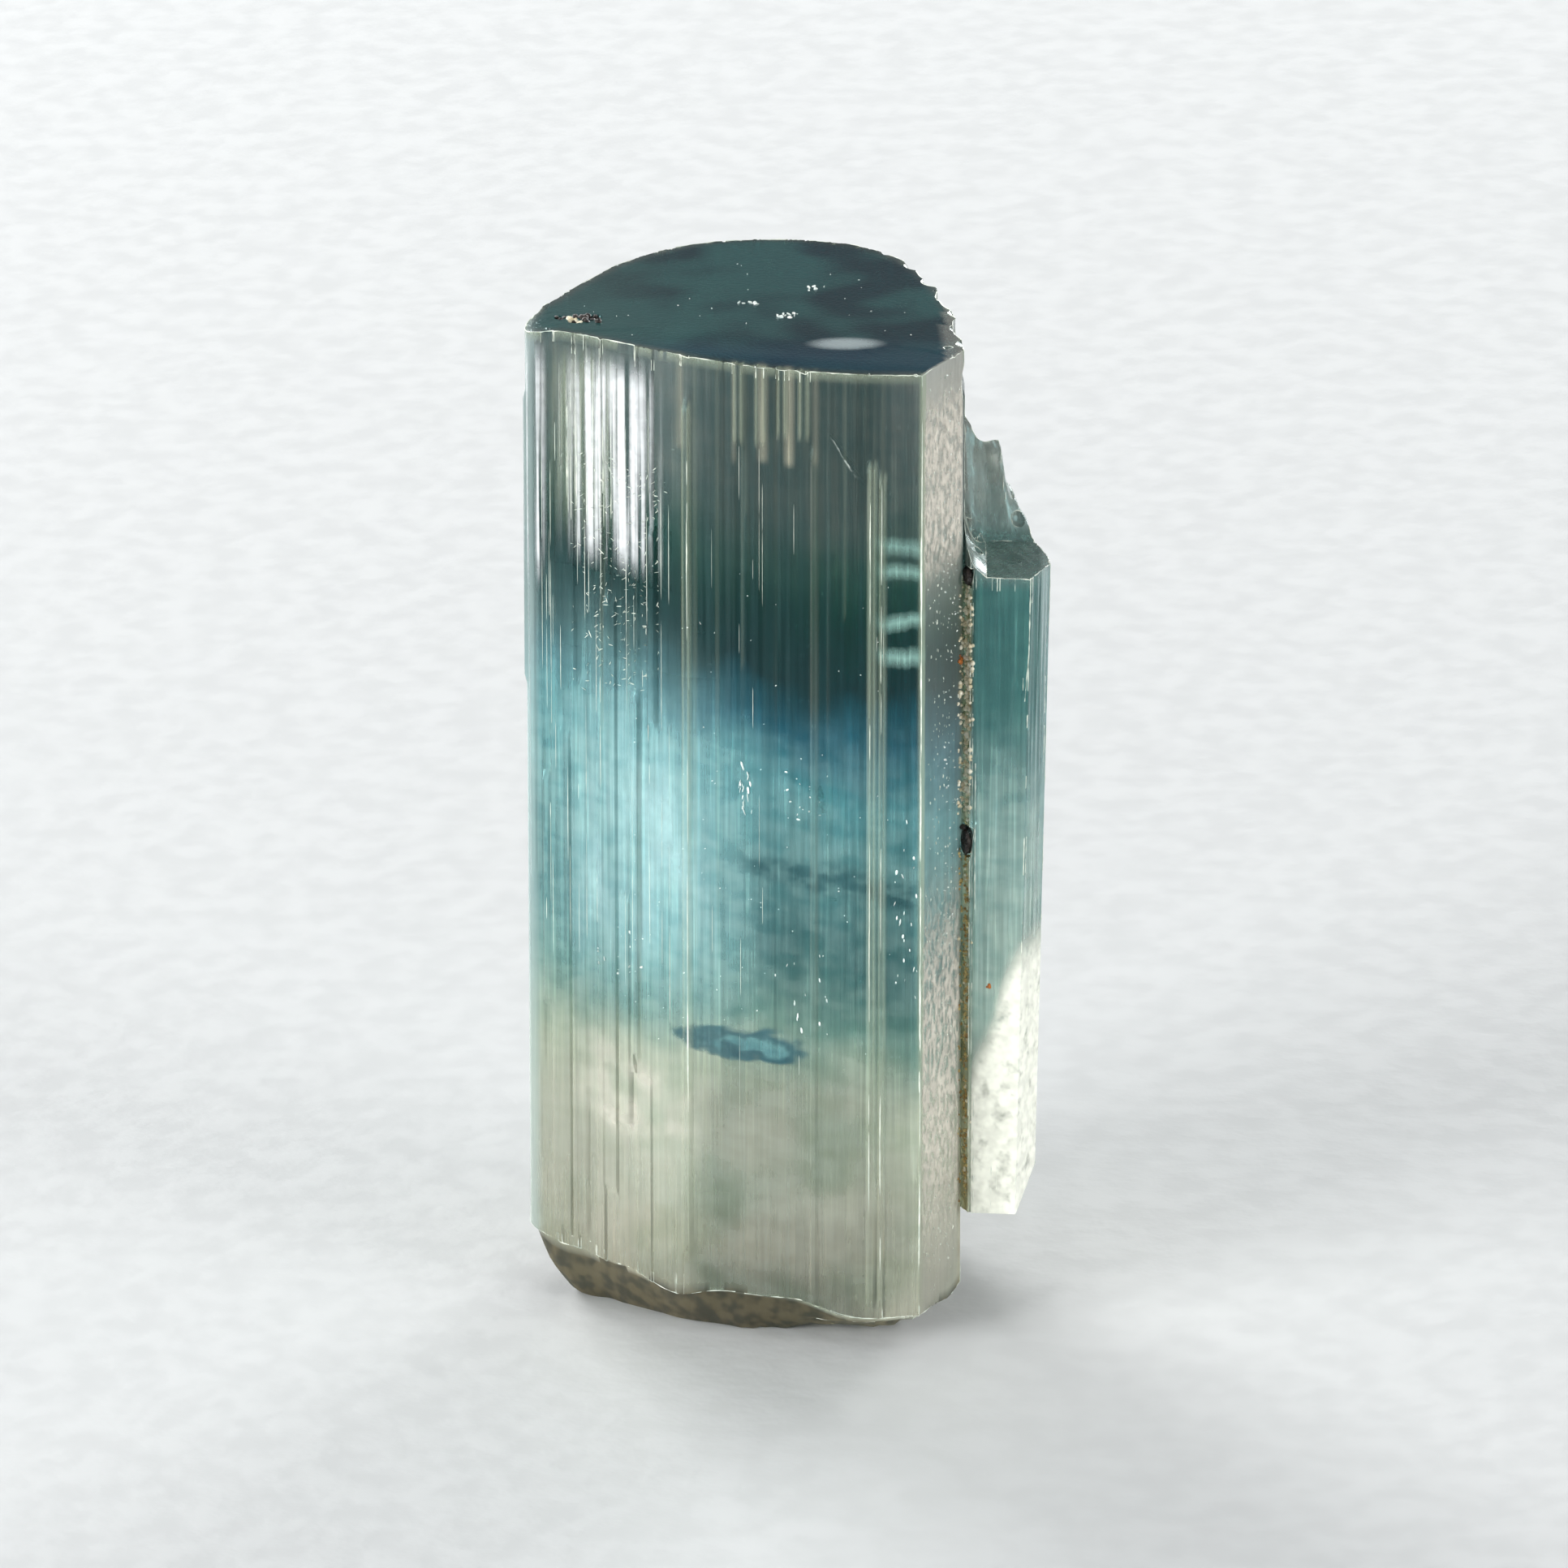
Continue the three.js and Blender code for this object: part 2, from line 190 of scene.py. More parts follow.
def slab_faces(columns: int, rows: int) -> Faces:
    """Faces of a closed slab between a front grid and a back grid, seen from the front.

    Args:
        columns: Points across each grid.
        rows: Points up each grid. The front grid's points come first.

    Returns:
        The faces, which look outward where the front grid turns anticlockwise.
    """
    count = columns * rows
    faces: Faces = []
    for row in range(rows - 1):
        for column in range(columns - 1):
            corner = row * columns + column
            quad = (corner, corner + 1, corner + 1 + columns, corner + columns)
            faces += [quad, tuple(count + i for i in quad[::-1])]
    rim = [*range(columns)]
    rim += [row * columns + columns - 1 for row in range(1, rows)]
    rim += [(rows - 1) * columns + i for i in range(columns - 2, -1, -1)]
    rim += [row * columns for row in range(rows - 2, 0, -1)]
    for here, after in zip(rim, rim[1:] + rim[:1]):
        faces.append((after, here, count + here, count + after))
    return faces


def ball_points(detail: int) -> tuple[list[Vector], Faces]:
    """Points and faces of a ball of radius 1."""
    ball = bmesh.new()
    bmesh.ops.create_icosphere(ball, subdivisions=detail, radius=1.0)
    points = [vertex.co.copy() for vertex in ball.verts]
    faces = [[vertex.index for vertex in face.verts] for face in ball.faces]
    ball.free()
    return points, faces


def write_mark(mesh: bpy.types.Mesh, name: str, values: Sequence[float]) -> None:
    """Keeps one number for each point of a mesh as an attribute."""
    layer = mesh.attributes.new(name, "FLOAT", "POINT")
    layer.data.foreach_set("value", np.asarray(values, np.float32))


def evaluated_copy(thing: Thing, name: str) -> Thing:
    """Replaces an object by a plain mesh of its evaluated shape, with no modifiers left."""
    graph = bpy.context.evaluated_depsgraph_get()
    mesh = bpy.data.meshes.new_from_object(thing.evaluated_get(graph), depsgraph=graph)
    mesh.name = name
    thing.modifiers.clear()
    thing.data = mesh
    thing.name = name
    return thing


def shade(thing: Thing, sharp_degrees: float) -> None:
    """Smooth shading that breaks at edges sharper than an angle."""
    mesh = thing.data
    mesh.polygons.foreach_set("use_smooth", [True] * len(mesh.polygons))
    mesh.set_sharp_from_angle(angle=math.radians(sharp_degrees))


def hand_over(thing: Thing) -> None:
    """Gives a finished piece its body, and reports it."""
    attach(thing, BODY)
    LOG.info("%s: %d faces", thing.name, len(thing.data.polygons))


# ---- The main prism ----


class WallCurve:
    """The main prism's striated wall, seen from above: a smooth curve through its points."""

    def __init__(self, points: Sequence[tuple[float, float]], samples: int = 160) -> None:
        """Fits the curve and measures it.

        Args:
            points: The points that the curve passes through.
            samples: Steps of the curve between two points.
        """
        corners = np.array(points, float)
        ends = (2 * corners[0] - corners[1], 2 * corners[-1] - corners[-2])
        padded = np.vstack([ends[0], corners, ends[1]])
        shares = np.linspace(0.0, 1.0, samples, endpoint=False)[:, None]
        pieces = [self._span(padded[i : i + 4], shares) for i in range(len(corners) - 1)]
        self.line = np.vstack([*pieces, corners[-1:]])
        steps = np.linalg.norm(np.diff(self.line, axis=0), axis=1)
        self.reach = np.concatenate([[0.0], np.cumsum(steps)])
        self.length = float(self.reach[-1])

    @staticmethod
    def _span(corner: Array, share: Array) -> Array:
        """The centripetal curve between the second and third of four points."""
        before, within, after = (
            float(np.linalg.norm(corner[i + 1] - corner[i])) ** 0.5 for i in range(3)
        )
        chord = (corner[2] - corner[1]) / within
        start = (corner[1] - corner[0]) / before - (corner[2] - corner[0]) / (before + within)
        end = (corner[3] - corner[2]) / after - (corner[3] - corner[1]) / (within + after)
        lean_in, lean_out = (start + chord) * within, (end + chord) * within
        cubic = 2 * (corner[1] - corner[2]) + lean_in + lean_out
        square = 3 * (corner[2] - corner[1]) - 2 * lean_in - lean_out
        return corner[1] + share * (lean_in + share * (square + share * cubic))

    def at(self, reach: Array) -> Array:
        """The points at the given distances along the curve."""
        columns = [np.interp(reach, self.reach, self.line[:, axis]) for axis in (0, 1)]
        return np.column_stack(columns)

    def outward(self, reach: Array) -> Array:
        """The outward directions at the given distances along the curve."""
        step = 0.04
        ahead = self.at(np.minimum(reach + step, self.length))
        behind = self.at(np.maximum(reach - step, 0.0))
        along = ahead - behind
        along /= np.linalg.norm(along, axis=1, keepdims=True)
        return np.column_stack([along[:, 1], -along[:, 0]])

    def front_reach(self, x: float) -> float:
        """The distance along the curve at which the front wall passes x."""
        front = self.reach > 0.62 * self.length
        return float(np.interp(x, self.line[front, 0], self.reach[front]))


WALL = WallCurve(SECTION_POINTS)


@dataclass(frozen=True)
class Rib:
    """A low raised rib on the wall: where it is, the heights it runs between and its relief."""

    reach: float
    bottom: float
    top: float
    width: float
    relief: float
    # How strongly its edges carry a painted glint.
    shine: float = 0.5

    def profile(self, reach: Array) -> Array:
        """How far the rib stands out at distances along the wall."""
        away = np.abs(reach - self.reach)
        return self.relief * np.clip((self.width / 2 + self.relief - away) / self.relief, 0.0, 1.0)

    def spans(self, height: Array | float) -> Array:
        """1 at the heights where the rib is, else 0."""
        height = np.asarray(height, float)
        return ((height >= self.bottom) & (height <= self.top)).astype(float)


def named_ribs() -> list[Rib]:
    """The front wall's long ribs and the short slats that hang from its top edge."""
    long_ribs = (
        (-1.22, 1.9, 21.5, 0.14, 0.06, 0.5),
        (1.52, 1.2, 20.8, 0.09, 0.035, 0.12),
        (2.76, 1.0, 20.6, 0.1, 0.06, 0.55),
        (2.98, 1.0, 20.3, 0.08, 0.045, 0.4),
    )
    ribs = [Rib(WALL.front_reach(x), *rest) for x, *rest in long_ribs]
    first, last, count = -0.1, 1.3, 4
    for i in range(count):
        length = 1.95 * (0.8 + 0.3 * scatter(i, 3))
        x = first + i * (last - first) / (count - 1)
        bottom = CRYSTAL_HEIGHT - length
        ribs.append(Rib(WALL.front_reach(x), bottom, CRYSTAL_HEIGHT, 0.16, 0.06))
    return ribs


def growth_ledges() -> list[Rib]:
    """Growth ledges spread round the rest of the wall, which start and stop along it."""
    last_share = WALL.front_reach(-1.6) / WALL.length
    ledges = []
    for i in range(LEDGE_COUNT):
        share = 0.02 + ((i * GOLDEN_SHARE) % 1) * (last_share - 0.02)
        length = 3 + 12 * scatter(i, 5)
        bottom = 1.2 + (CRYSTAL_HEIGHT - 1.2 - length) * scatter(i, 6)
        width = 0.3 * (0.5 + scatter(i, 7))
        relief = 0.05 * (0.4 + 0.8 * scatter(i, 8))
        ledges.append(Rib(share * WALL.length, bottom, bottom + length, width, relief))
    return ledges


@dataclass
class Terraces:
    """Narrow growth terraces side by side round the wall, which make its striae."""

    length: float
    narrowest: float = 0.06
    widest: float = 0.3
    seed: int = 11
    edges: Array = field(init=False)
    upper: Array = field(init=False)
    lower: Array = field(init=False)
    change: Array = field(init=False)
    sparkle: Array = field(init=False)

    def __post_init__(self) -> None:
        """Draws the terraces' widths, depths and the heights at which they change."""
        random = np.random.default_rng(self.seed)
        widths = []
        while sum(widths) < self.length:
            draw = random.random() ** 1.7
            widths.append(self.narrowest + (self.widest - self.narrowest) * draw)
        self.edges = np.cumsum(widths)
        count = len(widths)
        self.upper = random.random(count)
        self.lower = np.where(random.random(count) < 0.55, self.upper, random.random(count))
        self.change = random.uniform(2.5, 21.5, count)
        # How strongly each terrace's edge carries a painted glint.
        self.sparkle = random.random(count) ** 3

    def depth(self, reach: Array, height: Array) -> Array:
        """How deep the terraces lie, from 0 to 1, at distances along the wall and heights."""
        index = np.minimum(np.searchsorted(self.edges, reach), len(self.edges) - 1)
        share = smoothstep(height - self.change[index], -0.25, 0.25)
        return self.lower[index] * (1 - share) + self.upper[index] * share


TERRACES = Terraces(WALL.length)


def stria_depth(points: Array) -> Array:
    """How deep the striae are cut at points of the wall."""
    towards_right = smoothstep(points[:, 0], -2.6, -0.2)
    front = 0.07 * (1 - towards_right) + 0.02 * towards_right
    return np.where(points[:, 1] > -1.2, 0.05, front)


# The broken foot's edge at each angle in degrees: how high it meets the wall, and how far in
# it rests.
FOOT_RIM = (
    (0, 1.35, 1.5), (55, 0.85, 1.1), (110, 1.15, 0.9), (160, 1.25, 1.2),
    (190, 1.65, 1.0), (204, 1.3, 0.7), (220, 1.2, 0.5), (244, 0.93, 0.45),
    (268, 1.13, 0.5), (284, 1.02, 0.9), (302, 0.74, 2.1), (322, 0.92, 1.9),
    (332, 1.25, 1.6), (360, 1.35, 1.5),
)


def foot_values(angle: Array) -> tuple[Array, Array]:
    """The foot's rise and reach at angles in radians, between the listed ones."""
    degrees = np.degrees(angle) % 360.0
    angles, rises, reaches = np.array(FOOT_RIM).T
    after = np.clip(np.searchsorted(angles, degrees, side="right"), 1, len(angles) - 1)
    share = smoothstep((degrees - angles[after - 1]) / (angles[after] - angles[after - 1]), 0, 1)
    rise = rises[after - 1] * (1 - share) + rises[after] * share
    reach = reaches[after - 1] * (1 - share) + reaches[after] * share
    return rise, reach


def foot_height(wall: Array, share: float) -> Array:
    """Height of the broken foot above the ground, on the way out to points of the wall."""
    angle = np.arctan2(wall[:, 1], wall[:, 0])
    rise, reach = foot_values(angle)
    inside = np.hypot(wall[:, 0], wall[:, 1]) * (1 - share)
    out = np.minimum(1 - (inside - 0.1) / reach, 1.0)
    shells = 0.06 * np.sin(9 * inside + 4 * angle) + 0.035 * np.sin(13 * angle)
    fine = 0.018 * np.sin(38 * inside + 9 * angle) * np.sin(5 * angle + 1)
    rising = np.clip(out, 0, 1)
    height = rise * rising**1.6 + (shells + fine) * rising - 0.02
    return np.where(out > 0, np.maximum(height, 0.0), 0.0)


def top_height(points: Array) -> Array:
    """Height of the basal face: flat, with a chipped left corner and a low front slope."""
    x, y = points[:, 0], points[:, 1]
    turn = math.radians(12)
    along = (x + 4.6) * math.cos(turn) + (y + 0.95) * math.sin(turn)
    corner = CRYSTAL_HEIGHT - 0.16 + along * math.tan(math.radians(17))
    turn = math.radians(-11)
    depth = y * math.cos(turn) - x * math.sin(turn)
    slope = CRYSTAL_HEIGHT + (depth + 3.75 - 0.75) * math.tan(math.radians(5))
    step = 0.012 * smoothstep(depth + 0.12 * np.sin(3.1 * x) + 2.15, -0.05, 0.05)
    flat = CRYSTAL_HEIGHT - 0.012 + step
    return np.minimum(np.minimum(flat, corner), slope)


@dataclass
class MainPrism:
    """The stout striated prism, as one closed lattice from foot to basal face."""

    wall_columns: int = 640
    facet_columns: int = 40
    wall_rows: int = 92
    foot_shares: tuple[float, ...] = (
        0.12, 0.36, 0.48, 0.56, 0.63, 0.69, 0.74, 0.785, 0.825, 0.86, 0.89, 0.915, 0.94, 0.96, 0.98,
    )
    top_shares: tuple[float, ...] = (
        0.985, 0.96, 0.93, 0.89, 0.84, 0.79, 0.72, 0.65, 0.57, 0.48, 0.38, 0.28, 0.16, 0.07,
    )

    def outline(self) -> tuple[Array, Array, Array]:
        """The section's points, its outward directions and the distances along the wall."""
        reach = np.linspace(0.0, WALL.length, self.wall_columns)
        points, outward = WALL.at(reach), WALL.outward(reach)
        shares = np.linspace(0, 1, self.facet_columns + 2)[1:-1, None]
        facet = points[-1] * (1 - shares) + points[0] * shares
        along = (points[0] - points[-1]) / np.linalg.norm(points[0] - points[-1])
        facet_outward = np.tile([along[1], -along[0]], (len(facet), 1))
        beyond = np.full(len(facet), np.nan)
        return (
            np.vstack([points, facet]),
            np.vstack([outward, facet_outward]),
            np.concatenate([reach, beyond]),
        )

    def wall(self) -> Array:
        """The wall's points, as rows of rings from the foot's rim to the top's."""
        points, outward, reach = self.outline()
        depth = stria_depth(points)
        columns = len(points)
        random = np.random.default_rng(5)
        grain = random.normal(0.0, 0.004, (self.wall_rows + 1, columns))
        grain[:, : self.wall_columns] *= 0.04
        grain[:, [0, self.wall_columns - 1]] = 0.0
        low = foot_height(points, 1.0)
        wall_rings = []
        ribs = (*named_ribs(), *growth_ledges())
        profiles = [rib.profile(np.nan_to_num(reach)) for rib in ribs]
        for row in range(self.wall_rows + 1):
            share = row / self.wall_rows
            height = low * (1 - share) + top_height(points) * share
            out = self._row_relief(reach, depth, height, ribs, profiles) + grain[row]
            section = points + outward * out[:, None]
            if row == self.wall_rows:
                chips = 0.05 * np.clip(random.normal(0, 0.5, columns) - 0.5, 0, 1)
                height = top_height(section) - chips
            wall_rings.append(np.column_stack([section, height]))
        return np.array(wall_rings)

    def build(self) -> Thing:
        """The prism as a closed mesh object."""
        points = self.outline()[0]
        rings = [
            np.column_stack([points * share, foot_height(points, share)])
            for share in self.foot_shares
        ]
        rings += list(self.wall())
        rim = rings[-1][:, :2]
        for share in self.top_shares:
            inner = rim * share
            rings.append(np.column_stack([inner, top_height(inner)]))
        vertices, faces = capped_lattice(rings, (0, 0, 0), (0, 0, CRYSTAL_HEIGHT))
        return mesh_object("main_prism", vertices, faces)

    @staticmethod
    def _row_relief(
        reach: Array,
        depth: Array,
        height: Array,
        ribs: Sequence[Rib],
        profiles: Sequence[Array],
    ) -> Array:
        """How far one row of the wall stands out from its smooth section."""
        on_wall = ~np.isnan(reach)
        run = np.where(on_wall, reach, 0.0)
        cut = -depth * TERRACES.depth(run, height)
        out = cut
        for rib, profile in zip(ribs, profiles):
            raised = (profile + 0.4 * cut) * rib.spans(height)
            out = np.where((profile > 0) & (raised != 0), np.maximum(out, raised), out)
        ends = smoothstep(run, 0.0, 0.12) * smoothstep(WALL.length - run, 0.0, 0.12)
        return np.where(on_wall, out * ends, 0.0)


# ---- The side prism and what is cut away ----


def side_taper(x: Array, height: Array | float) -> Array:
    """How far the side prism's outer face draws in towards the seam at a height."""
    low = 1 - (height - SIDE_BOTTOM) / (CRYSTAL_HEIGHT - SIDE_BOTTOM)
    return SIDE_TAPER * low * smoothstep(x, 5.0, 6.4)


@dataclass
class SidePrism:
    """The thinner prism on the right flank, whole to the full height until it is cut."""

    spacing: float = 0.06
    rows: int = 70

    def build(self) -> Thing:
        """The prism as a closed mesh object."""
        corners = np.array(SIDE_POINTS, float)
        points, outward = [], []
        for start, end in zip(corners, np.roll(corners, -1, axis=0)):
            run = end - start
            steps = max(2, round(float(np.linalg.norm(run)) / self.spacing))
            for i in range(steps):
                points.append(start + run * i / steps)
                bulge = 0.0 if i == 0 else 1.0
                outward.append(bulge * np.array([run[1], -run[0]]) / np.linalg.norm(run))
        points, outward = np.array(points), np.array(outward)
        random = np.random.default_rng(8)
        stria = -0.03 * random.random(len(points))
        rings = []
        for row in range(self.rows + 1):
            height = SIDE_BOTTOM + (CRYSTAL_HEIGHT - SIDE_BOTTOM) * row / self.rows
            wander = 0.006 * np.sin(np.arange(len(points)) * 1.7 + height * 0.9)
            section = points + outward * (stria + wander)[:, None]
            section[:, 0] -= side_taper(section[:, 0], height)
            rings.append(np.column_stack([section, np.full(len(section), height)]))
        columns = len(points)
        faces = lattice_faces(columns, len(rings))
        last = (len(rings) - 1) * columns
        faces.append(list(range(columns))[::-1])
        faces.append([last + column for column in range(columns)])
        return mesh_object("side_prism", np.vstack(rings), faces)


def turned_block(
    name: str,
    size: Point,
    middle: Point,
    turns: Sequence[tuple[float, str]],
    place_at: Point,
) -> Thing:
    """A block that is moved, turned about the axes in degrees and moved into place."""
    corners = np.array([[x, y, z] for x in (-0.5, 0.5) for y in (-0.5, 0.5) for z in (-0.5, 0.5)])
    points = corners * np.array(size) + np.array(middle)
    for degrees, axis in turns:
        points = points @ np.array(Matrix.Rotation(math.radians(degrees), 3, axis)).T
    points = points + np.array(place_at)
    faces = ((0, 1, 3, 2), (4, 6, 7, 5), (0, 4, 5, 1), (2, 3, 7, 6), (0, 2, 6, 4), (1, 5, 7, 3))
    return mesh_object(name, points, faces)


def side_trims() -> list[Thing]:
    """Cutters for the side prism's lower right edge and the oblique face beside its ridge."""
    across, up = 0.4, 0.78
    toe_x = SIDE_POINTS[1][0] - SIDE_TAPER - across
    lean = -math.degrees(math.atan2(up, across))
    toe = turned_block("toe_cut", (2, 9, 2), (1, 0, -1), [(lean, "Y")], (toe_x, -1, SIDE_BOTTOM))
    turns = [(-28.0, "Z"), (4.6, "Y")]
    face = turned_block("face_cut", (3, 3, 12), (1.5, -1.5, 0), turns, (5.72, -3.2, 10.5))
    return [toe, face]


@dataclass(frozen=True)
class Break:
    """The break above the side prism's shoulder, as heights over x: its ridge, and its front."""

    ridge: tuple[tuple[float, float], ...] = (
        (4.52, 23.2), (4.72, 21.9), (4.82, 20.8), (4.95, 20.1), (5.3, 19.6),
        (5.75, 19.35), (5.88, 18.7), (6.1, 18.15), (6.35, 17.7), (6.8, 17.3),
    )
    front: tuple[tuple[float, float], ...] = (
        (4.5, 23.2), (4.62, 21.0), (4.7, 19.2), (4.78, 18.2), (4.95, 17.75),
        (5.22, 17.5), (6.8, 17.5),
    )
    front_y: float = -0.85
    ridge_y: float = -0.12
    fall: float = 0.42
    retreat: float = 0.3
    low: tuple[float, float] = (3.2, -4.0)
    high: tuple[float, float] = (7.2, 4.0)
    columns: int = 84
    rows: int = 150

    def height(self, x: Array, y: Array) -> Array:
        """Height of the broken slope at points of its plan."""
        share = smoothstep(y, self.front_y, self.ridge_y)
        ridge_x = x + self.retreat * np.maximum(y - self.front_y, 0)
        ridge = np.interp(ridge_x, *zip(*self.ridge))
        height = np.interp(x, *zip(*self.front)) * (1 - share) + ridge * share
        far = np.sqrt((x - 6.4) ** 2 + (y + 0.5) ** 2 + (height - 20.6) ** 2)
        near_shells = 0.2 * np.abs(np.sin(3.1 * far))
        far_shells = 0.16 * np.abs(np.sin(4.3 * np.hypot(x - 4.2, y - 2.2)))
        fine = 0.06 * np.abs(np.sin(11 * far + 2 * y)) + 0.03 * np.sin(23 * x + 9 * y)
        shells = np.where(x > 4.75, near_shells + far_shells - 0.2 + fine, 0.0)
        behind = self.fall * np.maximum(y - self.ridge_y, 0)
        return height - behind + shells * np.maximum(share, 0.12)

    def build(self) -> Thing:
        """A cutter that holds everything above the broken slope."""
        xs = np.linspace(self.low[0], self.high[0], self.columns)
        ys = np.linspace(self.low[1], self.high[1], self.rows)
        grid_x, grid_y = np.meshgrid(xs, ys)
        flat_x, flat_y = grid_x.ravel(), grid_y.ravel()
        under = np.column_stack([flat_x, flat_y, self.height(flat_x, flat_y)])
        lid = np.column_stack([flat_x, flat_y, np.full(flat_x.size, CRYSTAL_HEIGHT + 4)])
        faces = [face[::-1] for face in slab_faces(self.columns, self.rows)]
        return mesh_object("break_cut", np.vstack([under, lid]), faces)


@dataclass(frozen=True)
class Shell:
    """A shell-shaped bite: the middle and radius of the ball that takes it, and its ripples."""

    at: Point
    radius: float
    ripple: float = 0.02
    detail: int = 4

    def build(self, name: str) -> Thing:
        """The ball as a cutter, with ripples that spread from one side as on broken glass."""
        ball, faces = ball_points(self.detail)
        turn = self.at[0] + 2 * self.at[1] + 3 * self.at[2]
        source = Vector((math.cos(turn), math.sin(turn), 0.7)).normalized()
        points = []
        for point in ball:
            away = math.acos(max(-1.0, min(1.0, point.normalized().dot(source))))
            swell = 1 + self.ripple * math.sin(22 * away + 3 * math.sin(3 * point.z))
            points.append(np.array(self.at) + np.array(point) * self.radius * swell)
        return mesh_object(name, np.array(points), faces)


BREAK_SHELLS = (
    Shell((6.25, -1.35, 19.55), 1.05),
    Shell((5.35, -1.75, 20.95), 0.62),
    Shell((5.55, 0.35, 20.6), 0.8),
    Shell((6.35, 0.75, 18.75), 0.7),
    Shell((5.3, 1.45, 20.4), 0.75),
    Shell((5.7, -1.95, 18.72), 1.26, 0.012),
)
FLANK_SHELLS = (
    Shell((6.68, -1.35, 22.45), 2.2, 0.006, 5),
    Shell((6.14, 0.75, 22.3), 2.0, 0.006, 5),
    Shell((5.72, 2.55, 21.7), 2.2, 0.006, 5),
    Shell((6.42, -2.85, 21.85), 1.76, 0.006, 5),
    Shell((6.0, -0.35, 20.95), 1.42, 0.008, 5),
)
RIM_CHIPS = (
    Shell((4.86, -2.45, 22.88), 0.42, 0.02, 3),
    Shell((4.8, -1.45, 22.78), 0.42, 0.02, 3),
    Shell((4.72, -0.45, 22.84), 0.4, 0.02, 3),
    Shell((4.6, 0.6, 22.76), 0.5, 0.02, 3),
    Shell((4.28, 1.65, 22.84), 0.5, 0.02, 3),
    Shell((3.85, 2.7, 22.8), 0.42, 0.02, 3),
    Shell((4.38, -2.72, 22.72), 0.16, 0.03, 3),
    Shell((3.1, 3.52, 22.74), 0.2, 0.03, 3),
)


def slope_bites(slope: Break) -> list[Shell]:
    """Small shell-shaped bites over the broken slope."""
    bites = []
    for i in range(BITE_COUNT):
        x = 4.75 + 1.7 * scatter(i, 21)
        y = -2.6 + 4.0 * scatter(i, 22)
        radius = 0.16 + 0.34 * scatter(i, 23) ** 2
        z = float(slope.height(np.array([x]), np.array([y]))[0]) + radius * 0.72
        if z < SIDE_SHOULDER + radius:
            continue
        bites.append(Shell((x, y, z), radius, 0.03, 3))
    return bites


TOP_PITS = (
    Shell((-3.95, -0.75, 22.62), 0.13, 0.05, 3),
    Shell((-3.62, -0.98, 22.63), 0.16, 0.05, 3),
    Shell((-3.2, -0.72, 22.64), 0.18, 0.05, 3),
)


@dataclass(frozen=True)
class Pocket:
    """An open pocket in the seam between the prisms."""

    height: float
    tall: float
    wide: float

    def build(self, name: str) -> Thing:
        """The pocket as a cutter."""
        middle = (SEAM_X + 0.02, SEAM_Y, self.height)
        turns = [(math.degrees(0.12), "Y")]
        return turned_block(name, (self.wide, 1.1, self.tall), (0, 0, 0), turns, middle)


SEAM_POCKETS = (Pocket(17.5, 0.44, 0.24), Pocket(11.4, 0.74, 0.26))


class Operation(Enum):
    """What a tool does to a solid."""

    JOIN = "UNION"
    CUT = "DIFFERENCE"


def work(base: Thing, tools: Sequence[Thing], operation: Operation) -> None:
    """Joins or cuts a solid with each tool in turn, and deletes the tools."""
    for tool in tools:
        step = base.modifiers.new(tool.name, "BOOLEAN")
        step.operation = operation.value
        step.solver = "MANIFOLD"
        step.object = tool
    evaluated_copy(base, base.name)
    for tool in tools:
        bpy.data.objects.remove(tool, do_unlink=True)


# ---- Marks on the surface ----


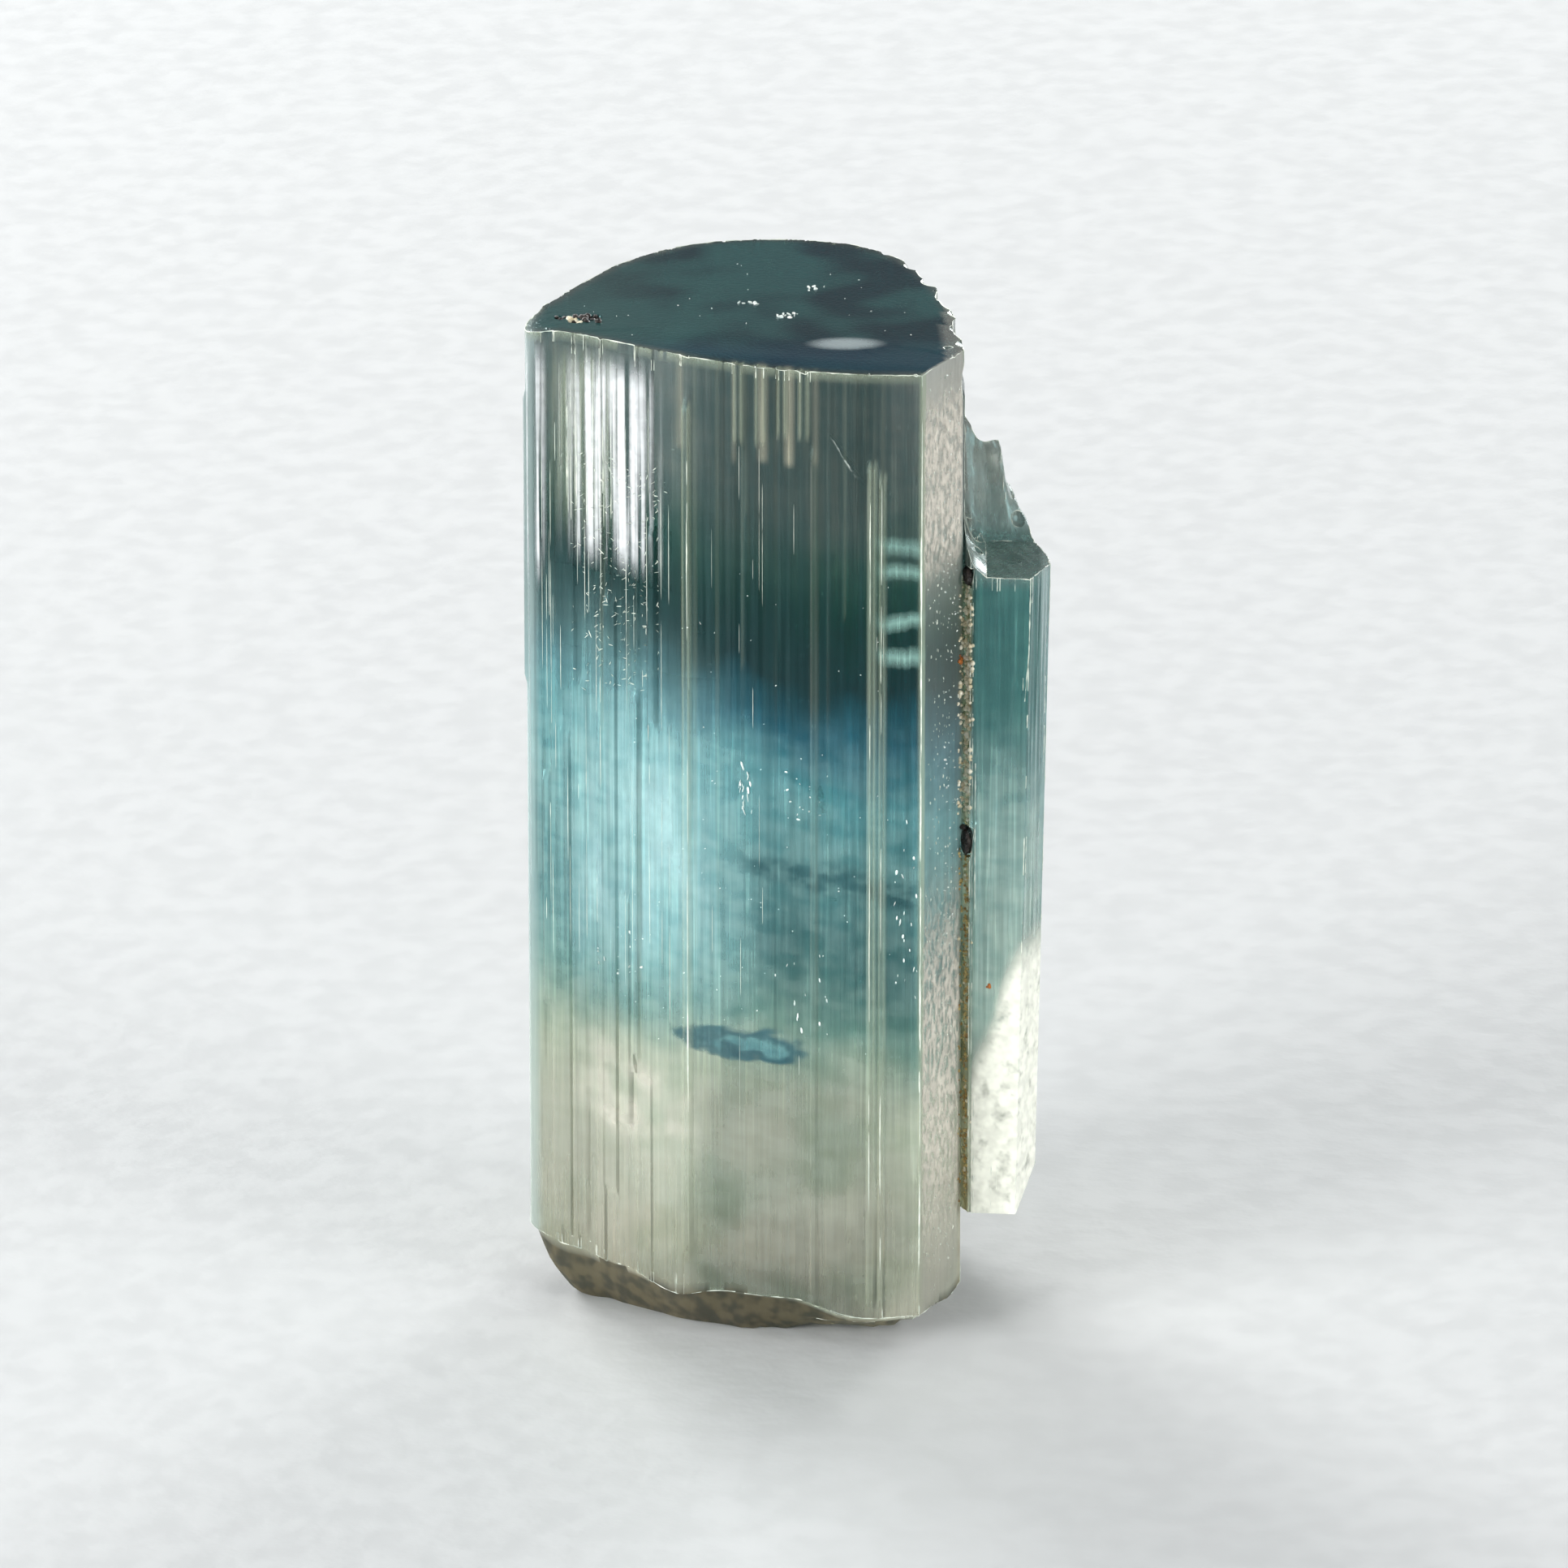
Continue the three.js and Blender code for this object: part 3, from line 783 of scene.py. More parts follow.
@dataclass
class SurfaceMarks:
    """Where the surface is frosted or stained, or carries painted glints, as point attributes."""

    points: Array

    def __post_init__(self) -> None:
        """Finds how each point lies to the main prism's wall."""
        finder = KDTree(len(WALL.line))
        for index, (x, y) in enumerate(WALL.line):
            finder.insert((x, y, 0.0), index)
        finder.balance()
        nearest = [finder.find((x, y, 0.0)) for x, y, _ in self.points]
        index = np.array([found[1] for found in nearest])
        self.from_wall = np.array([found[2] for found in nearest])
        self.reach = WALL.reach[index]
        self.angle = np.arctan2(self.points[:, 1], self.points[:, 0])
        self.rise = foot_values(self.angle)[0]

    def frost(self) -> Array:
        """How frosted each point is, from 0 to 1."""
        x, y, z = self.points.T
        front, rear = np.array(SECTION_POINTS[-1]), np.array(SECTION_POINTS[0])
        run = rear - front
        share = ((x - front[0]) * run[0] + (y - front[1]) * run[1]) / (run @ run)
        off = np.abs((x - front[0]) * run[1] - (y - front[1]) * run[0]) / np.linalg.norm(run)
        facet = (off < 0.05) & (share > 0.02) & (share < 0.98) & (z > self.rise + 0.02)
        broken = (x > 4.3) & (z > SIDE_SHOULDER - 0.05) & (self.from_wall > 0.06) & ~facet
        foot = z < np.minimum(self.rise - 0.05, 1.4)
        return np.clip(0.8 * facet + 0.35 * broken + 0.45 * foot, 0, 1)

    def glint(self) -> Array:
        """Painted glints at each point on striae, ribs and bevels, and a painted sheen."""
        x, y, z = self.points.T
        on_wall = (self.from_wall < 0.13) & (z > self.rise + 0.05)
        near = np.zeros(len(x))
        calm = 1.0 - 0.7 * smoothstep(x, -1.6, -0.6) * (y < -2.0)
        for edge, bright, change in zip(TERRACES.edges, TERRACES.sparkle, TERRACES.change):
            if bright < 0.4:
                continue
            side = (z > change) if int(edge * 100) % 2 else (z < change)
            line = np.exp(-(((self.reach - edge) / 0.025) ** 2))
            near = np.maximum(near, 0.75 * (bright - 0.3) * calm * side * line)
        for rib in named_ribs():
            for edge in (rib.reach - rib.width / 2, rib.reach + rib.width / 2):
                line = np.exp(-(((self.reach - edge) / 0.04) ** 2)) * rib.spans(z)
                near = np.maximum(near, rib.shine * line)
        # Painted sheen in fine strands over the striae of the upper left.
        painted_sheen = smoothstep(x, -4.35, -3.7) * smoothstep(-x, 2.5, 3.1) * (y < -0.9)
        painted_sheen = painted_sheen * smoothstep(z, 17.6, 19.5) * smoothstep(-z, -22.5, -21.6)
        strand = 0.55 + 0.45 * np.sin(47 * self.reach) * np.sin(19 * self.reach + 1.3 * z)
        near = np.maximum(near, 0.85 * painted_sheen * strand)
        # Painted glints along the facet's ridge and the front of the top bevel.
        ridge = np.exp(-(((self.reach - WALL.length) / 0.05) ** 2))
        bevel = np.exp(-(((z - top_height(self.points[:, :2])) / 0.03) ** 2))
        bevel = 0.55 * bevel * (self.from_wall < 0.05) * (y < 0)
        return np.clip(np.maximum(near * on_wall, np.maximum(0.7 * ridge * on_wall, bevel)), 0, 1)

    def stain(self) -> Array:
        """How stained each point is: the foot's broken surface."""
        x, _, z = self.points.T
        foot = (z < self.rise - 0.04) & (self.from_wall < 5) & (x < 4.8) & (z < 1.6)
        return 0.9 * foot

    def seam(self) -> Array:
        """How near each point lies to the seam's cream and yellow line."""
        x, y, z = self.points.T
        return np.exp(-(((x - SEAM_X) / 0.09) ** 2)) * (y < -2.4) * (z < SIDE_SHOULDER)

    def crown(self) -> Array:
        """How far inside the basal face each point lies: it looks down into the blue."""
        height = top_height(self.points[:, :2])
        on_top = smoothstep(self.points[:, 2], height - 0.1, height - 0.03)
        return on_top * smoothstep(self.from_wall, 0.02, 0.3)

    def worn(self) -> Array:
        """Where sharp edges are bruised and paint rim light: the rim, break, seam, ridges and foot.
        """
        x, y, z = self.points.T
        rim = (z > CRYSTAL_HEIGHT - 0.5) & (self.from_wall < 0.5)
        broken = (x > 4.4) & (z > SIDE_SHOULDER - 0.3) & (self.from_wall > 0.03)
        ridges = (SIDE_POINTS[0], SIDE_POINTS[1], SIDE_POINTS[-1])
        corners = [np.hypot(x - ridge_x, y - ridge_y) for ridge_x, ridge_y in ridges]
        ridge = (x > 4.8) & (z < SIDE_SHOULDER + 0.2) & (np.minimum.reduce(corners) < 0.3)
        foot = (np.abs(z - self.rise) < 0.4) & (self.from_wall < 0.4)
        toe = (x > 4.9) & (z < 4.0)
        return np.clip(1.0 * rim + 1.0 * broken + 0.75 * ridge + 0.9 * foot + 1.0 * toe, 0, 1)

    def write(self, mesh: bpy.types.Mesh) -> None:
        """Puts the marks on a mesh as point attributes."""
        for name in ("frost", "glint", "stain", "seam", "crown", "worn"):
            write_mark(mesh, name, getattr(self, name)())


def own_points(mesh: bpy.types.Mesh) -> Array:
    """A mesh's points in the section frame, in millimetres."""
    flat = np.empty(len(mesh.vertices) * 3)
    mesh.vertices.foreach_get("co", flat)
    return flat.reshape(-1, 3) / MM - np.array([*SECTION_CENTRE, 0.0])


@dataclass
class Crystal:
    """The two intergrown prisms as one solid."""

    main: MainPrism = field(default_factory=MainPrism)
    side: SidePrism = field(default_factory=SidePrism)
    slope: Break = field(default_factory=Break)
    sharp_degrees: float = 26.0

    def build(self, finish: Material) -> Thing:
        """The finished crystal, which stands for the solid node."""
        side = self.side.build()
        shells = (*BREAK_SHELLS, *slope_bites(self.slope))
        bites = [shell.build(f"bite_{i}") for i, shell in enumerate(shells)]
        work(side, [*side_trims(), self.slope.build(), *bites], Operation.CUT)
        crystal = self.main.build()
        work(crystal, [side], Operation.JOIN)
        shells = (*FLANK_SHELLS, *RIM_CHIPS, *TOP_PITS)
        cutters = [shell.build(f"shell_{i}") for i, shell in enumerate(shells)]
        cutters += [pocket.build(f"pocket_{i}") for i, pocket in enumerate(SEAM_POCKETS)]
        work(crystal, cutters, Operation.CUT)
        crystal.name = crystal.data.name = "crystal"
        SurfaceMarks(own_points(crystal.data)).write(crystal.data)
        shade(crystal, self.sharp_degrees)
        crystal.data.materials.clear()
        crystal.data.materials.append(finish)
        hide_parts(CRYSTAL_NODE)
        hand_over(crystal)
        return crystal


# ---- Node trees ----


class Sheet:
    """Nodes of one tree, added and linked in the order that they are read."""

    def __init__(self, tree: Tree) -> None:
        """Starts on a tree, which may already hold nodes."""
        self.tree = tree

    def add(
        self, kind: str, inputs: dict[str | int, object] | None = None, **settings: object
    ) -> Node:
        """Adds a node.

        Args:
            kind: The node's type.
            inputs: What each input takes: another node's socket, or a plain value.
            **settings: The node's own properties.

        Returns:
            The new node.
        """
        node = self.tree.nodes.new(kind)
        for name, value in settings.items():
            setattr(node, name, value)
        for key, value in (inputs or {}).items():
            self.feed(node.inputs[key], value)
        return node

    def geo(self, kind: str, inputs: dict[str | int, object] | None = None, **own: object) -> Node:
        """Adds a geometry node, whose type is given without its first words."""
        return self.add(f"GeometryNode{kind}", inputs, **own)

    def feed(self, socket: Socket, value: object) -> None:
        """Links a socket to another one, or sets its plain value."""
        if isinstance(value, bpy.types.NodeSocket):
            self.tree.links.new(value, socket)
        else:
            socket.default_value = value

    def math(self, operation: str, first: object, second: object = 0.0) -> Socket:
        """The result of a sum on one or two values."""
        return self.add("ShaderNodeMath", {0: first, 1: second}, operation=operation).outputs[0]

    def plus(self, first: object, second: object) -> Socket:
        """The first value and the second."""
        return self.math("ADD", first, second)

    def minus(self, first: object, second: object) -> Socket:
        """The first value less the second."""
        return self.math("SUBTRACT", first, second)

    def over(self, first: object, second: object) -> Socket:
        """The first value in shares of the second."""
        return self.math("DIVIDE", first, second)

    def times(self, first: object, *others: object) -> Socket:
        """The product of all the values."""
        for other in others:
            first = self.math("MULTIPLY", first, other)
        return first

    def vector(self, operation: str, first: object, second: object) -> Socket:
        """The result of a sum on two vectors, or on a vector and a scale."""
        key = "Scale" if operation == "SCALE" else 1
        inputs = {0: first, key: second}
        return self.add("ShaderNodeVectorMath", inputs, operation=operation).outputs[0]

    def noise(self, scale: object, detail: object, vector: object | None = None) -> Node:
        """Soft noise, at the point's own place where no other is given."""
        inputs = {"Scale": scale, "Detail": detail}
        if vector is not None:
            inputs["Vector"] = vector
        return self.add("ShaderNodeTexNoise", inputs)

    def pick(self, low: object, high: object, seed: object) -> Socket:
        """A random number between two others for each point."""
        inputs = {2: low, 3: high, "Seed": seed}
        return self.add("FunctionNodeRandomValue", inputs, data_type="FLOAT").outputs[1]

    def finish(self, geometry: Socket, material: Socket, result: Node) -> None:
        """Ends a geometry tree: makes instances real and sets the material."""
        real = self.geo("RealizeInstances", {0: geometry})
        inputs = {"Geometry": real.outputs[0], "Material": material}
        dressed = self.geo("SetMaterial", inputs)
        self.feed(result.inputs["Geometry"], dressed.outputs[0])

    def blend(self, share: object, low: object, high: object, mode: str = "MIX") -> Socket:
        """A colour between two others."""
        node = self.add("ShaderNodeMix", data_type="RGBA", blend_type=mode, clamp_factor=True)
        for socket in node.inputs:
            if socket.name == "Factor" and socket.type == "VALUE":
                self.feed(socket, share)
            elif socket.type == "RGBA":
                self.feed(socket, low if socket.name == "A" else high)
        return next(socket for socket in node.outputs if socket.type == "RGBA")

    def slope(
        self, value: object, low: object, high: object, first: float = 0.0, last: float = 1.0
    ) -> Socket:
        """A value that goes smoothly from first to last while another goes from low to high."""
        inputs = {"Value": value, "From Min": low, "From Max": high}
        inputs |= {"To Min": first, "To Max": last}
        return self.add("ShaderNodeMapRange", inputs, interpolation_type="SMOOTHSTEP").outputs[0]

    def ramp(self, value: object, stops: Sequence[tuple[float, tuple[float, ...]]]) -> Socket:
        """A colour along a list of stops, each a place from 0 to 1 and a colour."""
        node = self.add("ShaderNodeValToRGB", {"Fac": value})
        elements = node.color_ramp.elements
        for index, (at, colour) in enumerate(stops):
            stop = elements[index] if index < 2 else elements.new(at)
            stop.position = at
            stop.color = colour
        return node.outputs["Color"]

    def millimetres(self) -> Socket:
        """Object coordinates in millimetres."""
        coordinates = self.add("ShaderNodeTexCoord")
        inputs = {"Vector": coordinates.outputs["Object"], "Scale": (1 / MM,) * 3}
        return self.add("ShaderNodeMapping", inputs).outputs[0]


def group_tree(
    name: str,
    kind: str,
    inputs: dict[str, object],
    outputs: dict[str, str],
) -> tuple[Sheet, Node, Node]:
    """Starts a node group.

    Args:
        name: The group's name.
        kind: ShaderNodeTree or GeometryNodeTree.
        inputs: The usual value of each input, or the kind of socket where it has none.
        outputs: The kind of socket of each output.

    Returns:
        The sheet to add nodes to, and the group's input and output nodes.
    """
    tree = bpy.data.node_groups.new(name, kind)
    kinds = {float: "Float", int: "Int", tuple: "Vector"}
    for label, value in inputs.items():
        socket_type = f"NodeSocket{kinds.get(type(value), value)}"
        socket = tree.interface.new_socket(label, in_out="INPUT", socket_type=socket_type)
        if type(value) in kinds:
            socket.default_value = value
    for label, value in outputs.items():
        tree.interface.new_socket(label, in_out="OUTPUT", socket_type=f"NodeSocket{value}")
    sheet = Sheet(tree)
    return sheet, sheet.add("NodeGroupInput"), sheet.add("NodeGroupOutput")


@cache
def growth_grain() -> Tree:
    """A mask of noise that is drawn out along the crystal's length, as growth marks are."""
    inputs = {
        "Scale": 4.0,
        "Stretch": 10.0,
        "Detail": 3.0,
        "Low": 0.4,
        "High": 0.6,
        "Offset": (0.0, 0.0, 0.0),
    }
    sheet, given, result = group_tree("growth_grain", "ShaderNodeTree", inputs, {"Mask": "Float"})
    take = given.outputs
    along = sheet.over(1.0, take["Stretch"])
    squeeze = sheet.add("ShaderNodeCombineXYZ", {"X": 1.0, "Y": 1.0, "Z": along})
    inputs = {"Vector": sheet.millimetres(), "Location": take["Offset"]}
    inputs["Scale"] = squeeze.outputs[0]
    drawn = sheet.add("ShaderNodeMapping", inputs)
    grain = sheet.noise(take["Scale"], take["Detail"], drawn.outputs[0])
    mask = sheet.slope(grain.outputs["Fac"], take["Low"], take["High"])
    sheet.feed(result.inputs["Mask"], mask)
    return sheet.tree


@cache
def dust_specks() -> Tree:
    """A mask of dust specks."""
    inputs = {"Specks": 6.0, "Speck Share": 0.1}
    outputs = {"Speck": "Float"}
    sheet, given, result = group_tree("dust_specks", "ShaderNodeTree", inputs, outputs)
    inputs = {"Vector": sheet.millimetres(), "Scale": given.outputs["Specks"]}
    cells = sheet.add("ShaderNodeTexVoronoi", inputs)
    size = sheet.times(given.outputs["Speck Share"], cells.outputs["Color"])
    speck = sheet.math("LESS_THAN", cells.outputs["Distance"], size)
    sheet.feed(result.inputs["Speck"], speck)
    return sheet.tree


def grain_mask(
    sheet: Sheet,
    scale: float,
    stretch: float,
    low: float,
    high: float,
    offset: float = 0.0,
    detail: float = 3.0,
) -> Socket:
    """Places the growth grain group in a material, with its own values.

    Args:
        sheet: The material's nodes.
        scale: Grains to a millimetre, across.
        stretch: How many times longer than wide the grains are.
        low: The noise value at which the mask is 0.
        high: The noise value at which it is 1.
        offset: Moves the grain, so that two masks differ.
        detail: How fine the noise goes.

    Returns:
        The mask.
    """
    node = sheet.add("ShaderNodeGroup", node_tree=growth_grain())
    values = {"Scale": scale, "Stretch": stretch, "Detail": detail, "Low": low, "High": high}
    for name, value in values.items():
        node.inputs[name].default_value = value
    node.inputs["Offset"].default_value = (offset, offset * 0.7, offset * 1.3)
    return node.outputs["Mask"]


def speck_mask(sheet: Sheet, specks: float, share: float) -> Socket:
    """Places the dust specks group in a material, with its own values."""
    node = sheet.add("ShaderNodeGroup", node_tree=dust_specks())
    node.inputs["Specks"].default_value = specks
    node.inputs["Speck Share"].default_value = share
    return node.outputs["Speck"]


def new_material(name: str) -> tuple[Material, Sheet, Node]:
    """A material with its principled shader in place.

    Args:
        name: The material's name.

    Returns:
        The material, the sheet to add its nodes to, and the shader.
    """
    material = bpy.data.materials.new(name)
    material.use_nodes = True
    shader = next(node for node in material.node_tree.nodes if node.type == "BSDF_PRINCIPLED")
    return material, Sheet(material.node_tree), shader


def bump(sheet: Sheet, height: Socket, distance_mm: float) -> Socket:
    """A surface normal raised by a height."""
    inputs = {"Height": height, "Distance": distance_mm * MM, "Strength": 1.0}
    return sheet.add("ShaderNodeBump", inputs).outputs["Normal"]


# ---- Finishes ----

# The crystal's colour zones: the height of each in millimetres, and its colour.
ZONES = (
    (0.0, (196, 190, 162)), (3.0, (198, 202, 178)), (6.0, (206, 214, 188)),
    (7.4, (112, 152, 138)), (9.5, (70, 118, 118)), (11.5, (106, 156, 156)),
    (13.2, (94, 160, 166)), (14.4, (26, 94, 114)), (15.6, (0, 26, 30)),
    (17.2, (0, 38, 28)), (18.6, (22, 64, 50)), (20.0, (100, 108, 102)),
    (22.6, (124, 128, 124)),
)


@dataclass(frozen=True)
class Bars:
    """Soft bright bars side by side: where their row starts and ends, and each bar.

    Attributes:
        start: Where the row starts, in millimetres.
        end: Where it ends.
        bars: The middle, half width and strength of each bar.
        tone: The bars' colour.
    """

    start: float
    end: float
    bars: tuple[Point, ...]
    tone: Tone

    def mask(self, sheet: Sheet, place_mm: Socket) -> Socket:
        """1 in the middle of each bar, less for a weaker one, and 0 between them."""
        length = self.end - self.start
        share = sheet.over(sheet.minus(place_mm, self.start), length)
        dark = (0.0, 0.0, 0.0, 1.0)
        stops = [(0.0, dark)]
        for middle, half, strength in self.bars:
            at, reach = (middle - self.start) / length, half / length
            bright = (strength, strength, strength, 1.0)
            stops += [(at - reach, dark), (at, bright), (at + reach, dark)]
        mask = sheet.ramp(share, [*stops, (1.0, dark)])
        return sheet.add("ShaderNodeSeparateColor", {0: mask}).outputs[0]


# Painted reflections: bright bars one above another at the right front, by height.
PAINTED_REFLECTIONS = Bars(
    15.4,
    19.8,
    ((16.2, 0.26, 0.95), (17.0, 0.24, 1.0), (18.2, 0.24, 0.85), (18.75, 0.24, 0.7)),
    (196, 244, 230),
)

# Cream bars that hang from the top edge, by place along X.
SLATS = Bars(
    -1.7,
    2.3,
    (
        (-1.36, 0.14, 0.5), (-0.2, 0.08, 0.3), (0.42, 0.15, 0.75),
        (0.98, 0.15, 0.85), (1.55, 0.1, 0.35),
    ),
    (214, 206, 180),
)
SLAT_FEET = 20.35

# Colours that lie over the zones.
# Painted light that brightens the middle of the left side.
PAINTED_LEFT_LIGHT = srgb(186, 240, 240)
SIDE_TEAL, SIDE_PALE, SIDE_HEAD = srgb(94, 150, 144), srgb(224, 246, 232), srgb(176, 196, 190)
# Painted shade for the middle of the front: grey up high, olive low down.
PAINTED_SHADE_GREY, PAINTED_SHADE_OLIVE = srgb(66, 72, 67), srgb(104, 116, 94)
CLOUD_PALE, CLOUD_CREAM, SMOKE = srgb(226, 240, 236), srgb(240, 226, 212), srgb(40, 78, 86)
LENS_DEEP, LENS_LIGHT = srgb(34, 92, 112), srgb(104, 164, 174)
# The glint tone paints highlights on edges and sheen on the upper left.
STREAK, GLINT, FROST = srgb(24, 58, 62), srgb(206, 214, 184), srgb(240, 232, 220)
# The second tone here paints rim light along the outer edges.
MILK, PAINTED_RIM_LIGHT = srgb(240, 244, 230), srgb(220, 240, 238)
# Tones of the basal face; the left one is painted light.
CROWN_DEEP, CROWN_TEAL, CROWN_LEFT = srgb(8, 50, 64), srgb(48, 102, 104), srgb(78, 116, 114)
# The shine of the basal face is a painted highlight.
CROWN_FRONT, CROWN_SHINE = srgb(12, 62, 92), srgb(232, 246, 250)
RUST_DARK, RUST_LIGHT = srgb(58, 44, 22), srgb(112, 94, 62)
CRUST_DARK, CRUST_LIGHT = srgb(186, 154, 88), srgb(232, 220, 176)


@dataclass(frozen=True)
class CrystalFinish:
    """Zoned blue tourmaline: see-through, striated, frosted and stained where it is marked.

    The colour follows the section frame, whose axes the methods take in millimetres.

    Attributes:
        transmission: The share of light that goes through.
        ior: How strongly it bends.
        absorption: The colour that is left of white light inside.
        density: How fast the rest is lost.
        tilt: How far the zones rise to a millimetre along X.
        dip: How far they rise to a millimetre along Y.
        gleam: The colour of reflections.
    """

    transmission: float = 0.62
    ior: float = 1.63
    absorption: tuple[float, ...] = (0.5, 0.8, 0.82, 1.0)
    density: float = 30.0
    tilt: float = 0.2275
    dip: float = 0.225
    gleam: tuple[float, ...] = (0.3, 0.55, 0.56, 1.0)

    def material(self) -> Material:
        """The finish as a material."""
        material, sheet, shader = new_material("zoned_tourmaline")
        offset = (-SECTION_CENTRE[0], -SECTION_CENTRE[1], 0.0)
        in_section = sheet.vector("ADD", sheet.millimetres(), offset)
        axes = tuple(sheet.add("ShaderNodeSeparateXYZ", {0: in_section}).outputs)
        marks = {
            name: sheet.add("ShaderNodeAttribute", attribute_name=name).outputs["Fac"]
            for name in ("frost", "glint", "stain", "seam", "crown")
        }
        streaks = grain_mask(sheet, 8.0, 42.0, 0.3, 0.7, 0.0, 2.0)
        striae = grain_mask(sheet, 12.0, 60.0, 0.2, 0.8, 2.0, 1.0)
        sheet.feed(shader.inputs["Base Color"], self._colour(sheet, axes, marks, streaks))
        sheet.feed(shader.inputs["Roughness"], self._roughness(sheet, axes, marks, streaks))
        sheet.feed(shader.inputs["Normal"], bump(sheet, striae, 0.0035))
        shader.inputs["Transmission Weight"].default_value = self.transmission
        shader.inputs["IOR"].default_value = self.ior
        shader.inputs["Specular Tint"].default_value = self.gleam
        inputs = {"Color": self.absorption, "Density": self.density}
        inside = sheet.add("ShaderNodeVolumeAbsorption", inputs)
        nodes = material.node_tree.nodes
        output = next(node for node in nodes if node.type == "OUTPUT_MATERIAL")
        sheet.feed(output.inputs["Volume"], inside.outputs[0])
        return material

    def _colour(
        self, sheet: Sheet, axes: Axes, marks: dict[str, Socket], streaks: Socket
    ) -> Socket:
        """The colour zones up the crystal, with what lies on them."""
        x, _, z = axes
        drift = sheet.noise(0.5, 1.0, sheet.millimetres())
        shifts = sheet.add("ShaderNodeSeparateColor", {0: drift.outputs["Color"]}).outputs
        right = sheet.slope(x, 4.86, 5.0)
        colour = self._zones(sheet, axes, shifts[0])
        side = sheet.blend(sheet.slope(z, 14.6, 11.0), SIDE_TEAL, SIDE_PALE)
        side = sheet.blend(sheet.slope(z, 17.54, 17.9), side, SIDE_HEAD)
        colour = sheet.blend(sheet.times(right, 0.85), colour, side)
        colour = self._painted_shade(sheet, axes, shifts[1], colour)
        colour = self._clouds(sheet, axes, shifts[2], colour)
        crisp = sheet.slope(z, 4.5, 9.0, 0.3, 1.0)
        colour = sheet.blend(sheet.times(streaks, 0.34, crisp), colour, STREAK)
        fine = grain_mask(sheet, 22.0, 60.0, 0.52, 0.7, 3.0, 1.0)
        lighter = sheet.blend(1.0, colour, (1.35, 1.35, 1.3, 1.0), "MULTIPLY")
        colour = sheet.blend(sheet.times(fine, crisp), colour, lighter)
        wander = sheet.plus(shifts[1], sheet.times(streaks, 0.04))
        colour = self._reflections_and_slats(sheet, axes, wander, fine, colour)
        low = sheet.slope(sheet.plus(z, sheet.times(x, -1.4)), -0.1, -1.5)
        colour = sheet.blend(sheet.times(right, low, 0.8), colour, MILK)
        # Painted rim light along the far left and far right edges.
        for start, end in ((-4.36, -4.62), (6.34, 6.52)):
            rim = sheet.times(sheet.slope(x, start, end), 0.6)
            colour = sheet.blend(rim, colour, PAINTED_RIM_LIGHT)
        colour = sheet.blend(marks["crown"], colour, self._crown(sheet, axes, shifts[2]))
        above, below = sheet.slope(z, 16.0, 19.5, 0.15, 0.95), sheet.slope(z, 11.0, 8.0, 0.0, 0.2)
        frosted = sheet.times(marks["frost"], sheet.plus(above, below))
        colour = sheet.blend(frosted, colour, FROST)
        patches = grain_mask(sheet, 3.0, 1.0, 0.35, 0.65, 5.0, 1.0)
        colour = sheet.blend(marks["stain"], colour, sheet.blend(patches, RUST_DARK, RUST_LIGHT))
        colour = sheet.blend(marks["seam"], colour, sheet.blend(patches, CRUST_DARK, CRUST_LIGHT))
        # Painted glints on edges and painted sheen on the upper left.
        return sheet.blend(sheet.times(marks["glint"], crisp), colour, GLINT)

    def _zones(self, sheet: Sheet, axes: Axes, wander: Socket) -> Socket:
        """The zones by height, rising to the right and the rear, and painted light on the left."""
        x, y, z = axes
        sway = sheet.times(sheet.minus(wander, 0.5), 2.4)
        lean = sheet.times(x, self.tilt)
        depth = sheet.times(sheet.plus(y, 3.3), self.dip)
        height = sheet.plus(sheet.plus(z, sheet.plus(lean, depth)), sway)
        stops = [(at / CRYSTAL_HEIGHT, srgb(*tone)) for at, tone in ZONES]
        colour = sheet.ramp(sheet.over(height, CRYSTAL_HEIGHT), stops)
        inner, edge = sheet.slope(x, 0.9, -1.2), sheet.slope(x, -4.2, -3.3, 0.5, 1.0)
        leaning = sheet.plus(z, sheet.times(sheet.plus(x, 3.3), 0.6))
        middle = sheet.times(sheet.slope(z, 6.0, 9.5), sheet.slope(leaning, 17.9, 12.9))
        # Painted light: the middle of the left side made paler, where light from behind and to the
        # left shines through.
        glow = sheet.times(sheet.times(sheet.times(inner, edge), middle), 0.85)
        return sheet.blend(glow, colour, PAINTED_LEFT_LIGHT)

    @staticmethod
    def _painted_shade(sheet: Sheet, axes: Axes, wander: Socket, colour: Socket) -> Socket:
        """Painted shade over the middle of the front, deepest below the top, and low down."""
        x, _, z = axes
        across = sheet.plus(x, sheet.times(sheet.minus(wander, 0.5), 1.8))
        left, right = sheet.slope(across, -1.6, -0.3), sheet.slope(across, 3.7, 2.3, 0.2, 1.0)
        within = sheet.times(left, right, sheet.slope(x, 5.1, 4.8))
        high = sheet.times(within, sheet.slope(z, 17.0, 19.5, 0.0, 0.9))
        colour = sheet.blend(high, colour, PAINTED_SHADE_GREY)
        low = sheet.times(within, sheet.slope(z, 7.4, 5.6, 0.0, 0.75))
        return sheet.blend(low, colour, PAINTED_SHADE_OLIVE)

